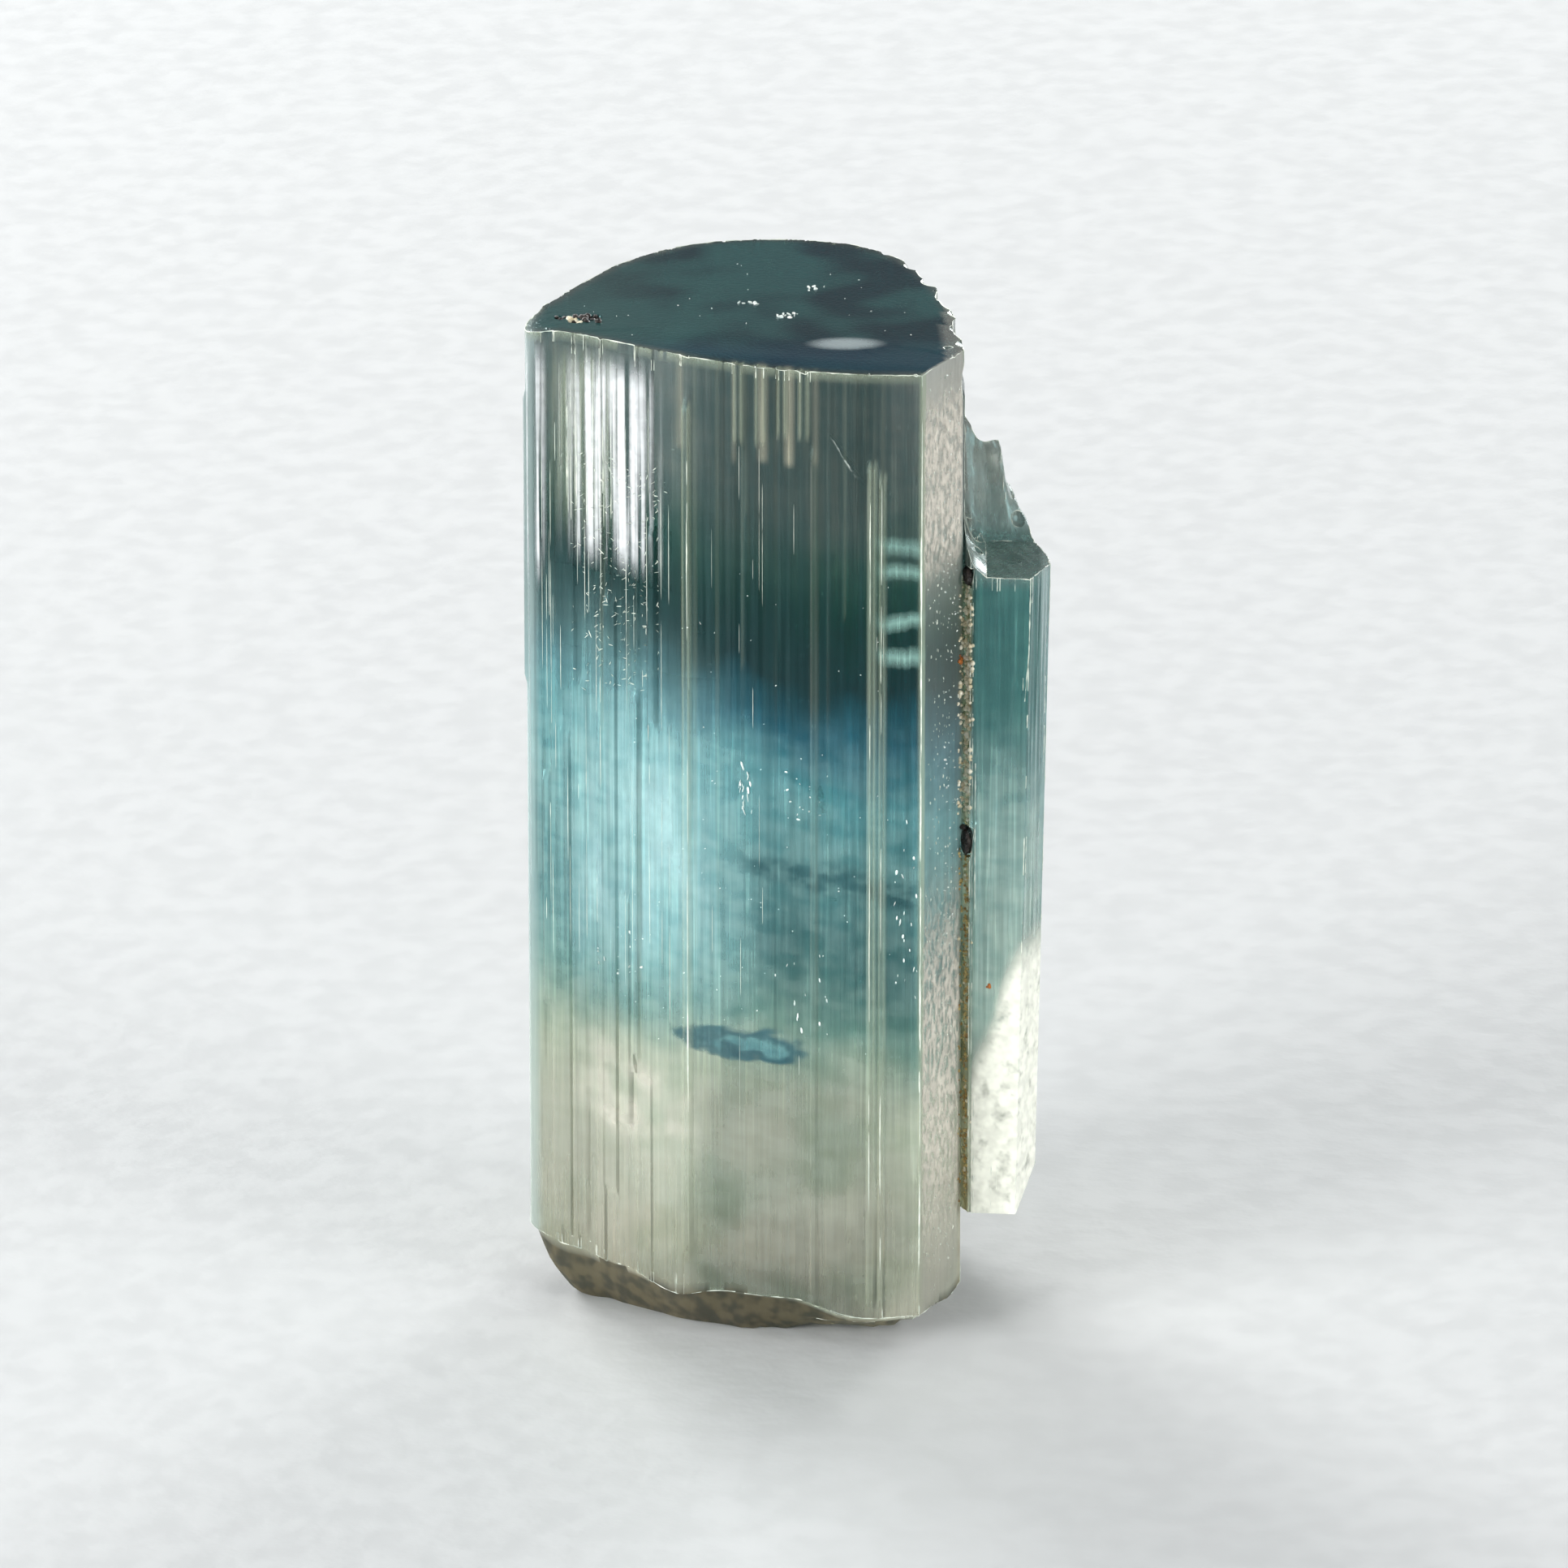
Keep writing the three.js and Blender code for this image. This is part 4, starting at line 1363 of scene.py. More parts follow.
    @staticmethod
    def _clouds(sheet: Sheet, axes: Axes, wander: Socket, colour: Socket) -> Socket:
        """Soft clouds, a smoky band and the blue lens, which show through the front."""
        x, y, z = axes
        clouds = grain_mask(sheet, 1.5, 0.6, 0.3, 0.7, 13.0, 2.0)
        darker = sheet.blend(1.0, colour, (0.62, 0.72, 0.76, 1.0), "MULTIPLY")
        depth = sheet.slope(z, 5.5, 8.5, 0.22, 0.8)
        colour = sheet.blend(sheet.times(sheet.minus(1.0, clouds), depth), colour, darker)
        paler = sheet.blend(sheet.slope(z, 15.0, 13.0, 0.0, 0.12), colour, CLOUD_PALE)
        colour = sheet.blend(clouds, colour, paler)
        low, patchy = sheet.slope(z, 7.0, 5.0, 0.0, 0.3), sheet.slope(wander, 0.35, 0.65, 0.1, 1.0)
        colour = sheet.blend(sheet.times(low, patchy), colour, CLOUD_CREAM)
        front = sheet.slope(y, -1.8, -2.6)
        wave = sheet.times(sheet.minus(wander, 0.5), 1.4)
        level = sheet.plus(z, sheet.plus(sheet.times(x, 0.16), wave))
        band = sheet.slope(sheet.math("ABSOLUTE", sheet.minus(level, 11.15)), 0.6, 0.12)
        reach = sheet.times(sheet.slope(x, -0.6, 0.5), sheet.slope(x, 4.0, 3.4))
        smoke = sheet.times(sheet.times(band, reach), sheet.slope(clouds, 0.75, 0.2, 0.3, 0.8))
        colour = sheet.blend(sheet.times(smoke, front), colour, SMOKE)
        across = sheet.over(sheet.minus(x, -0.05), 1.4)
        sloped = sheet.plus(z, sheet.times(x, 0.02))
        up = sheet.over(sheet.minus(sloped, 6.95), 0.36)
        blunt = sheet.math("POWER", sheet.math("ABSOLUTE", across), 4.0)
        ragged = sheet.times(sheet.minus(clouds, 0.5), 0.9)
        away = sheet.plus(sheet.plus(blunt, sheet.times(up, up)), ragged)
        tone = sheet.blend(sheet.slope(away, 0.5, -0.1), LENS_DEEP, LENS_LIGHT)
        inside = sheet.slope(away, 1.45, 0.6, 0.0, 0.85)
        return sheet.blend(sheet.times(inside, front), colour, tone)

    @staticmethod
    def _reflections_and_slats(sheet: Sheet, axes: Axes, wander: Socket, fine: Socket, colour: Socket) -> Socket:
        """The painted reflections and the hanging bars of the front, with wavy edges."""
        x, y, z = axes
        level = sheet.plus(z, sheet.times(sheet.minus(wander, 0.5), 0.9))
        front = sheet.slope(y, -2.6, -3.2)
        front = sheet.times(front, sheet.slope(fine, 0.0, 1.0, 0.7, 1.0))
        # Painted reflections of the facet, seen from inside, at the right front.
        glow = sheet.times(PAINTED_REFLECTIONS.mask(sheet, level), sheet.slope(x, 2.7, 3.2))
        glow = sheet.times(glow, sheet.slope(x, 3.95, 3.8), front)
        colour = sheet.blend(glow, colour, srgb(*PAINTED_REFLECTIONS.tone))
        hang = sheet.slope(level, SLAT_FEET, SLAT_FEET + 0.25)
        hang = sheet.times(SLATS.mask(sheet, x), hang, front)
        return sheet.blend(hang, colour, srgb(*SLATS.tone))

    @staticmethod
    def _crown(sheet: Sheet, axes: Axes, wander: Socket) -> Socket:
        """The depths seen in the basal face, with painted light on the left and one painted
        highlight.
        """
        x, y, _ = axes
        tone = sheet.blend(sheet.slope(wander, 0.38, 0.62), CROWN_DEEP, CROWN_TEAL)
        # Painted light on the left of the basal face.
        tone = sheet.blend(sheet.slope(x, -0.6, -3.6, 0.0, 0.6), tone, CROWN_LEFT)
        tone = sheet.blend(sheet.slope(y, -1.7, -3.4, 0.0, 0.75), tone, CROWN_FRONT)
        # One painted highlight: a lamp's reflection, as a bright patch near the front.
        across = sheet.over(sheet.minus(x, 2.2), 0.75)
        along = sheet.over(sheet.plus(y, 2.45), 0.36)
        away = sheet.plus(sheet.times(across, across), sheet.times(along, along))
        return sheet.blend(sheet.slope(away, 1.6, 0.0, 0.0, 0.95), tone, CROWN_SHINE)

    @staticmethod
    def _roughness(
        sheet: Sheet, axes: Axes, marks: dict[str, Socket], streaks: Socket
    ) -> Socket:
        """Glossy where the faces are whole, rough where they are etched, broken or milky."""
        _, _, z = axes
        rough = sheet.plus(sheet.times(streaks, 0.1), 0.09)
        for mark, share in (("frost", 0.4), ("stain", 0.3), ("glint", 0.25)):
            rough = sheet.plus(rough, sheet.times(marks[mark], share))
        return sheet.plus(rough, sheet.slope(z, 7.0, 2.0, 0.0, 0.12))


def deeper(tone: Tone, share: float) -> tuple[float, ...]:
    """A colour darkened to a share of its light."""
    return (*(channel * share for channel in srgb(*tone)[:3]), 1.0)


def fit_out(
    sheet: Sheet,
    shader: Node,
    colour: Socket,
    grain: Socket,
    roughness: tuple[float, float],
    relief: tuple[Socket, float],
) -> None:
    """Feeds a plain shader.

    Args:
        sheet: The material's nodes.
        shader: Its principled shader.
        colour: What the base colour takes.
        grain: A mask that makes the roughness uneven.
        roughness: The least roughness, and what the mask adds to it.
        relief: The height that the bump takes, and its depth in millimetres.
    """
    least, more = roughness
    sheet.feed(shader.inputs["Base Color"], colour)
    sheet.feed(shader.inputs["Roughness"], sheet.plus(sheet.times(grain, more), least))
    sheet.feed(shader.inputs["Normal"], bump(sheet, *relief))


@dataclass(frozen=True)
class GrainFinish:
    """Opaque mineral grains, in two mixed colours with a rough and pitted surface."""

    name: str
    light: Tone
    dark: Tone
    roughness: float
    pitting_mm: float
    scale: float = 6.0

    def material(self) -> Material:
        """The finish as a material."""
        material, sheet, shader = new_material(self.name)
        patches = grain_mask(sheet, self.scale, 1.0, 0.35, 0.65, 4.0)
        colour = sheet.blend(patches, srgb(*self.dark), srgb(*self.light))
        specks = sheet.times(speck_mask(sheet, 14.0, 0.3), 0.3)
        colour = sheet.blend(specks, colour, srgb(*self.dark))
        pits = grain_mask(sheet, self.scale * 3, 1.0, 0.3, 0.7, 6.0)
        roughness, relief = (self.roughness, 0.15), (pits, self.pitting_mm)
        fit_out(sheet, shader, colour, patches, roughness, relief)
        return material


@dataclass(frozen=True)
class VeilFinish:
    """A film in or on the crystal, in wisps: healed cracks, milk, frost, painted sheen and glow."""

    name: str
    tone: Tone
    cover: tuple[float, float]
    strength: float
    stretch: float
    roughness: float
    scale: float = 2.2
    detail: float = 2.0

    def material(self) -> Material:
        """The finish as a material."""
        material, sheet, shader = new_material(self.name)
        wisps = grain_mask(sheet, self.scale, self.stretch, *self.cover, 7.0, self.detail)
        fade = sheet.add("ShaderNodeAttribute", attribute_name="body_share").outputs["Fac"]
        sheet.feed(shader.inputs["Alpha"], sheet.times(wisps, fade, self.strength))
        grain = grain_mask(sheet, 4.0, 1.0, 0.3, 0.7, 8.0, 1.0)
        colour = sheet.blend(grain, deeper(self.tone, 0.82), srgb(*self.tone))
        fit_out(sheet, shader, colour, grain, (self.roughness, 0.15), (grain, 0.02))
        return material


@dataclass(frozen=True)
class FloorFinish:
    """A pale matte table top with a faint tooth."""

    tone: Tone = (206, 208, 208)

    def material(self) -> Material:
        """The finish as a material."""
        material, sheet, shader = new_material("pale_table")
        tooth = grain_mask(sheet, 1.1, 1.0, 0.3, 0.7, 9.0)
        colour = sheet.blend(tooth, deeper(self.tone, 0.96), srgb(*self.tone))
        fit_out(sheet, shader, colour, tooth, (0.5, 0.1), (tooth, 0.01))
        return material


CREAM_CRUST = GrainFinish("cream_crust", (250, 244, 224), (214, 200, 164), 0.5, 0.01)
YELLOW_CRUST = GrainFinish("yellow_crust", (226, 204, 140), (170, 132, 74), 0.6, 0.02)
DARK_GRAIN = GrainFinish("dark_grain", (44, 34, 26), (12, 10, 10), 0.3, 0.02)
SILVER_FLAKE = GrainFinish("silver_flake", (250, 252, 246), (214, 226, 222), 0.22, 0.004)
RUST_SPOT = GrainFinish("rust_spot", (190, 112, 40), (110, 58, 22), 0.5, 0.01)
FROST_EDGE = GrainFinish("frosted_edge", (236, 240, 226), (198, 208, 196), 0.42, 0.006, 3.0)
CRACK_VEIL = VeilFinish("crack_veil", (236, 250, 240), (0.3, 0.55), 0.9, 0.6, 0.3, 3.5)
# A white skin over the striated upper left: silk, whose bright sheen is painted.
SILK_AND_SHEEN_SKIN = VeilFinish("silky_skin", (244, 248, 250), (0.4, 0.62), 0.8, 60.0, 0.25, 7.0)
# A milky skin low on the left, whose brightness also paints the light on that side.
MILK_AND_LIGHT_SKIN = VeilFinish("milky_skin", (252, 244, 232), (0.2, 0.85), 0.5, 0.9, 0.4, 1.3, 0.6)
# A pale blue skin that paints the light glowing through the middle of the left side.
PAINTED_GLOW_SKIN = VeilFinish("sky_skin", (206, 240, 242), (0.1, 0.95), 0.5, 3.0, 0.4, 1.3, 1.0)
FACET_SKIN = VeilFinish("facet_skin", (236, 230, 216), (0.3, 0.62), 0.75, 2.2, 0.4, 9.0)
BLUE_LENS = VeilFinish("blue_lens", (84, 150, 164), (0.2, 0.7), 0.45, 0.5, 0.25, 3.0)
MILKY_CORE = VeilFinish("milky_core", (246, 248, 234), (0.0, 0.5), 1.0, 1.0, 0.3, 3.4)


# ---- Pieces that geometry nodes scatter ----


GEOMETRY_OUT = {"Geometry": "Geometry"}

# How far outside the wall the slivers start, and how far they fly to meet it, in metres.
SLIVER_START, SLIVER_FLIGHT = 0.5 * MM, 2 * MM
# Waves of noise to a metre: grains' lumps, edge stretches with wear and rim light, their thickness.
LUMP_WAVES, WEAR_AND_LIGHT_WAVES, THICK_WAVES = 16000.0, 1600.0, 5200.0
# How much wear and rim light an edge needs before it carries frost and painted glint.
LEAST_WEAR_AND_LIGHT = 0.36


@cache
def scatter_tree() -> Tree:
    """Grains scattered through a box, which settle on the crystal where they are told to."""
    inputs = {
        "Count": 100,
        "Low Corner": (0.0, 0.0, 0.0),
        "High Corner": (0.001, 0.001, 0.001),
        "Smallest": 0.00002,
        "Largest": 0.00006,
        "Flatness": 1.0,
        "Length": 1.0,
        "Turn": (math.tau, math.tau, math.tau),
        "Unevenness": 0.2,
        "Settle": 1.0,
        "Seed": 1,
        "Surface": "Object",
        "Finish": "Material",
    }
    sheet, given, result = group_tree("scattered_grains", "GeometryNodeTree", inputs, GEOMETRY_OUT)
    take = given.outputs
    spot = sheet.add(
        "FunctionNodeRandomValue",
        {0: take["Low Corner"], 1: take["High Corner"], "Seed": take["Seed"]},
        data_type="FLOAT_VECTOR",
    )
    points = sheet.geo("Points", {"Count": take["Count"], "Position": spot.outputs[0]})
    crystal = sheet.geo("ObjectInfo", {"Object": take["Surface"]})
    inputs = {0: crystal.outputs["Geometry"]}
    nearest = sheet.geo("Proximity", inputs, target_element="FACES")
    here = sheet.geo("InputPosition")
    settled = sheet.add("ShaderNodeMix", data_type="VECTOR")
    sheet.feed(settled.inputs[0], take["Settle"])
    sheet.feed(settled.inputs[4], here.outputs[0])
    sheet.feed(settled.inputs[5], nearest.outputs["Position"])
    inputs = {"Geometry": points.outputs[0], "Position": settled.outputs[1]}
    seated = sheet.geo("SetPosition", inputs)
    ball = sheet.geo("MeshIcoSphere", {"Radius": 1.0, "Subdivisions": 2})
    size = sheet.pick(take["Smallest"], take["Largest"], sheet.plus(take["Seed"], 7.0))
    flat, long = sheet.times(size, take["Flatness"]), sheet.times(size, take["Length"])
    scale = sheet.add("ShaderNodeCombineXYZ", {"X": size, "Y": flat, "Z": long})
    turn = sheet.add(
        "FunctionNodeRandomValue",
        {1: take["Turn"], "Seed": sheet.plus(take["Seed"], 13.0)},
        data_type="FLOAT_VECTOR",
    )
    inputs = {"Points": seated.outputs[0], "Instance": ball.outputs["Mesh"]}
    inputs |= {"Rotation": turn.outputs[0], "Scale": scale.outputs[0]}
    grains = sheet.geo("InstanceOnPoints", inputs)
    real = sheet.geo("RealizeInstances", {0: grains.outputs[0]})
    rough = sheet.noise(LUMP_WAVES, 1.0)
    swell = sheet.times(sheet.minus(rough.outputs["Fac"], 0.5), take["Unevenness"], take["Largest"])
    normal = sheet.geo("InputNormal")
    push = sheet.vector("SCALE", normal.outputs[0], swell)
    uneven = sheet.geo("SetPosition", {"Geometry": real.outputs[0], "Offset": push})
    sheet.finish(uneven.outputs[0], take["Finish"], result)
    return sheet.tree


@cache
def sliver_tree() -> Tree:
    """Slivers that frost the striae and paint glints, thrown at the wall from outside, left on it.
    """
    inputs = {
        "Geometry": "Geometry",
        "Count": 200,
        "Start": 0.5,
        "End": 1.0,
        "Lowest": 0.002,
        "Highest": 0.021,
        "Shortest": 0.0002,
        "Longest": 0.0012,
        "Width": 0.00002,
        "Lines": 30,
        "Seed": 1,
        "Crystal": "Object",
        "Finish": "Material",
    }
    sheet, given, result = group_tree("wall_slivers", "GeometryNodeTree", inputs, GEOMETRY_OUT)
    take = given.outputs
    wall = sheet.geo("MeshToCurve", {0: take["Geometry"]})
    line = sheet.math("FLOOR", sheet.pick(0.0, take["Lines"], sheet.plus(take["Seed"], 11.0)))
    place_on = sheet.pick(take["Start"], take["End"], take["Seed"])
    sheet.feed(place_on.node.inputs["ID"], line)
    inputs = {"Curves": wall.outputs[0], "Factor": place_on}
    on_wall = sheet.geo("SampleCurve", inputs, mode="FACTOR")
    up = sheet.pick(take["Lowest"], take["Highest"], sheet.plus(take["Seed"], 3.0))
    rise = sheet.add("ShaderNodeCombineXYZ", {"Z": up})
    outward = sheet.vector("CROSS_PRODUCT", on_wall.outputs["Tangent"], (0.0, 0.0, 1.0))
    away = sheet.vector("SCALE", outward, SLIVER_START)
    lifted = sheet.vector("ADD", on_wall.outputs["Position"], rise.outputs[0])
    source = sheet.vector("ADD", lifted, away)
    points = sheet.geo("Points", {"Count": take["Count"], "Position": source})
    kept = sheet.geo("CaptureAttribute", {"Geometry": points.outputs[0]})
    kept.capture_items.new("VECTOR", "Inward")
    sheet.feed(kept.inputs["Inward"], sheet.vector("SCALE", outward, -1.0))
    crystal = sheet.geo("ObjectInfo", {"Object": take["Crystal"]})
    inputs = {"Target Geometry": crystal.outputs["Geometry"], "Ray Length": SLIVER_FLIGHT}
    inputs["Ray Direction"] = kept.outputs["Inward"]
    ray = sheet.geo("Raycast", inputs)
    missed = sheet.add("FunctionNodeBooleanMath", {0: ray.outputs["Is Hit"]}, operation="NOT")
    inputs = {"Geometry": kept.outputs["Geometry"], "Selection": missed.outputs[0]}
    met = sheet.geo("DeleteGeometry", inputs, domain="POINT")
    inputs = {"Geometry": met.outputs["Geometry"], "Position": ray.outputs["Hit Position"]}
    landed = sheet.geo("SetPosition", inputs)
    ball = sheet.geo("MeshIcoSphere", {"Radius": 1.0, "Subdivisions": 2})
    length = sheet.pick(take["Shortest"], take["Longest"], sheet.plus(take["Seed"], 5.0))
    width = sheet.times(sheet.pick(0.4, 1.0, sheet.plus(take["Seed"], 9.0)), take["Width"])
    scale = sheet.add("ShaderNodeCombineXYZ", {"X": width, "Y": width, "Z": length})
    inputs = {"Points": landed.outputs[0], "Instance": ball.outputs["Mesh"]}
    inputs["Scale"] = scale.outputs[0]
    slivers = sheet.geo("InstanceOnPoints", inputs)
    sheet.finish(slivers.outputs[0], take["Finish"], result)
    return sheet.tree


@cache
def edge_tree() -> Tree:
    """Frost and painted rim light along the sharp edges where bruised, thick and thin by turns."""
    inputs = {
        "Sharpest": 0.6,
        "Radius": 0.00001,
        "Spacing": 0.00009,
        "Crystal": "Object",
        "Finish": "Material",
    }
    sheet, given, result = group_tree("edge_frost", "GeometryNodeTree", inputs, GEOMETRY_OUT)
    take = given.outputs
    crystal = sheet.geo("ObjectInfo", {"Object": take["Crystal"]})
    worn = sheet.geo("InputNamedAttribute", {"Name": "worn"}, data_type="FLOAT")
    angle = sheet.geo("InputMeshEdgeAngle")
    patchy = sheet.noise(WEAR_AND_LIGHT_WAVES, 2.0)
    share = sheet.times(worn.outputs["Attribute"], patchy.outputs["Fac"])
    sharp = sheet.math("GREATER_THAN", angle.outputs["Unsigned Angle"], take["Sharpest"])
    chosen = sheet.times(sharp, sheet.math("GREATER_THAN", share, LEAST_WEAR_AND_LIGHT))
    inputs = {"Mesh": crystal.outputs["Geometry"], "Selection": chosen}
    lines = sheet.geo("MeshToCurve", inputs)
    inputs = {"Curve": lines.outputs[0], "Length": take["Spacing"]}
    even = sheet.geo("ResampleCurve", inputs, mode="LENGTH")
    swell = sheet.noise(THICK_WAVES, 1.0)
    inputs = {"Value": swell.outputs["Fac"], "From Min": 0.35, "From Max": 0.65}
    thick = sheet.add("ShaderNodeMapRange", inputs)
    radius = sheet.times(thick.outputs[0], take["Radius"])
    sized = sheet.geo("SetCurveRadius", {"Curve": even.outputs[0], "Radius": 1.0})
    ring = sheet.geo("CurvePrimitiveCircle", {"Resolution": 4, "Radius": 1.0})
    inputs = {"Curve": sized.outputs[0], "Profile Curve": ring.outputs[0]}
    inputs |= {"Fill Caps": True, "Scale": radius}
    tube = sheet.geo("CurveToMesh", inputs)
    sheet.finish(tube.outputs[0], take["Finish"], result)
    return sheet.tree


def grow(host: Thing, tree: Tree, values: dict[str, object]) -> Thing:
    """Runs a geometry node tree on an object and keeps the result as a plain mesh.

    Args:
        host: The object that carries the tree.
        tree: The tree.
        values: The value of each named input.

    Returns:
        The same object, with the finished mesh.
    """
    modifier = host.modifiers.new(tree.name, "NODES")
    modifier.node_group = tree
    items = [item for item in tree.interface.items_tree if item.in_out == "INPUT"]
    sockets = {item.name: item.identifier for item in items}
    for name, value in values.items():
        modifier[sockets[name]] = list(value) if isinstance(value, Sequence) else value
    evaluated_copy(host, host.name)
    shade(host, 60)
    return host


def values_of(piece: object, names: str, scale: float = 1) -> dict[str, object]:
    """Fields of a piece under the names that a tree's inputs have, each times a scale."""
    return {name.title(): getattr(piece, name) * scale for name in names.split()}


UPRIGHT = (0.35, 0.35, math.tau)


@dataclass(frozen=True)
class Scatter:
    """One patch of scattered grains: the box that they fall in, in millimetres, and their sizes."""

    name: str
    low: Point
    high: Point
    count: int
    smallest: float
    largest: float
    finish: GrainFinish
    flatness: float = 1.0
    length: float = 1.0
    turn: Point = (math.tau, math.tau, math.tau)
    unevenness: float = 0.5
    settle: float = 1.0
    seed: int = 1

    def build(self, crystal: Thing, material: Material) -> Thing:
        """The grains as one plain mesh.

        Args:
            crystal: The solid that they settle on.
            material: The material that they take.

        Returns:
            The finished piece.
        """
        corners = place(np.array([self.low, self.high])).tolist()
        host = mesh_object(self.name, np.zeros((0, 3)), [])
        values = values_of(self, "count flatness length unevenness settle seed")
        values |= values_of(self, "smallest largest", MM)
        values |= {"Low Corner": corners[0], "High Corner": corners[1], "Turn": self.turn}
        values |= {"Surface": crystal, "Finish": material}
        return grow(host, scatter_tree(), values)


# ---- Pieces in and on the crystal ----


@dataclass(frozen=True)
class Film:
    """A thin curved disc with an uneven rim, such as a veil, a healed crack or a flat inclusion."""

    name: str
    at: Point
    across: Point
    up: Point
    finish: VeilFinish
    thickness: float = 0.02
    bow: float = 0.0
    ragged: float = 0.15
    seed: int = 1
    rings: int = 12
    sides: int = 72

    def build(self) -> Thing:
        """The film as a closed mesh, with how far each point is from its rim as an attribute."""
        random = np.random.default_rng(self.seed)
        waves = random.normal(0, 1, (5, 2))
        angle = np.linspace(0, math.tau, self.sides, endpoint=False)
        rim = np.ones(self.sides)
        for order, (sine, cosine) in enumerate(waves, start=2):
            wave = sine * np.sin(order * angle) + cosine * np.cos(order * angle)
            rim += self.ragged * wave / order
        rim += self.ragged * 0.3 * random.normal(0, 0.5, self.sides)
        across, up = np.array(self.across), np.array(self.up)
        normal = np.cross(across, up)
        normal /= np.linalg.norm(normal)
        layers, shares = [], []
        spread = np.linspace(0, 1, self.rings + 1)[1:]
        sheets = [(1.0, spread[:-1]), (0.0, spread[-1:]), (-1.0, spread[:-1][::-1])]
        for side, steps in sheets:
            for step in steps:
                flat = np.outer(np.cos(angle) * rim * step, across)
                flat += np.outer(np.sin(angle) * rim * step, up)
                sway = np.sin(3 * angle + 4 * step) + np.sin(5 * angle - 7 * step)
                half = side * self.thickness / 2 * math.sqrt(1 - step**2)
                lift = self.bow * (1 - step**2) + 0.12 * self.bow * sway * step + half
                layers.append(np.array(self.at) + flat + lift[:, None] * normal)
                shares += [1 - step] * self.sides
        middle = np.array(self.at) + self.bow * normal
        half = normal * self.thickness / 2
        points, faces = capped_lattice(layers, middle + half, middle - half)
        film = mesh_object(self.name, points, [face[::-1] for face in faces])
        write_mark(film.data, "body_share", smoothstep(np.array([*shares, 1.0, 1.0]), 0.0, 0.45))
        return film


@dataclass(frozen=True)
class Lump:
    """A rough grain: its middle, its three half sizes and how uneven it is."""

    name: str
    at: Point
    half: Point
    finish: GrainFinish
    uneven: float = 0.22
    detail: int = 4

    def build(self) -> Thing:
        """The grain as a closed mesh."""
        ball, faces = ball_points(self.detail)
        points = []
        for point in ball:
            near = point * 1.7 + Vector(self.at)
            far = point * 5.3 + Vector(self.at)
            swell = 1 + self.uneven * noise.noise(near) + 0.35 * self.uneven * noise.noise(far)
            points.append(np.array(self.at) + np.array(point) * np.array(self.half) * swell)
        return mesh_object(self.name, np.array(points), faces)


@dataclass
class Finishes:
    """The materials in use, each made once."""

    made: dict[str, Material] = field(default_factory=dict)

    def get(self, finish: GrainFinish | VeilFinish) -> Material:
        """The material of a finish."""
        if finish.name not in self.made:
            self.made[finish.name] = finish.material()
        return self.made[finish.name]

    def dress(self, piece: Thing, finish: GrainFinish | VeilFinish, sharp_degrees: float) -> None:
        """Shades a piece, gives it its only material and hands it over."""
        shade(piece, sharp_degrees)
        piece.data.materials.clear()
        piece.data.materials.append(self.get(finish))
        hand_over(piece)

    def strew(self, patches: Sequence[Scatter], crystal: Thing) -> None:
        """Makes patches of grains on the crystal and hands them over."""
        for patch in patches:
            hand_over(patch.build(crystal, self.get(patch.finish)))


@dataclass
class Seam:
    """The seam between the prisms: its crust, its stain and the dark grains in its pockets."""

    patches: tuple[Scatter, ...] = (
        Scatter(
            "seam_crust", (4.7, -3.12, 12.0), (4.93, -2.86, 17.3),
            300, 0.02, 0.06, CREAM_CRUST, seed=3,
        ),
        Scatter(
            "seam_crust_low", (4.72, -3.06, 2.95), (4.88, -2.9, 11.2),
            260, 0.016, 0.042, YELLOW_CRUST, seed=5,
        ),
        Scatter(
            "seam_specks", (4.7, -3.1, 3.4), (4.95, -2.88, 16.8),
            46, 0.02, 0.045, CREAM_CRUST, seed=9,
        ),
        Scatter(
            "facet_grains", (3.86, -4.3, 1.2), (4.68, -3.0, 22.3),
            420, 0.006, 0.022, FROST_EDGE, 0.4, 2.0, UPRIGHT, seed=7,
        ),
        Scatter(
            "facet_sparkle", (4.3, -3.7, 9.0), (4.7, -3.0, 22.4),
            150, 0.006, 0.024, SILVER_FLAKE, 0.4, 1.8, seed=17,
        ),
        Scatter(
            "rust_spot", (4.6, -3.05, 15.5), (4.7, -2.95, 15.7), 8, 0.03, 0.06, RUST_SPOT, seed=6
        ),
        Scatter(
            "side_rust_dot", (5.28, -3.2, 8.05), (5.34, -3.1, 8.14),
            4, 0.02, 0.04, RUST_SPOT, seed=4,
        ),
    )
    grains: tuple[Lump, ...] = (
        Lump("dark_grain_high", (4.83, -2.86, 17.48), (0.12, 0.3, 0.2), DARK_GRAIN),
        Lump("dark_grain_low", (4.83, -2.86, 11.38), (0.13, 0.3, 0.34), DARK_GRAIN),
        Lump("dark_chip", (4.74, -2.98, 11.72), (0.07, 0.07, 0.06), DARK_GRAIN, 0.3, 3),
    )

    def build(self, crystal: Thing, finishes: Finishes) -> None:
        """Makes and dresses every piece of the seam."""
        finishes.strew(self.patches, crystal)
        for grain in self.grains:
            finishes.dress(grain.build(), grain.finish, 60)


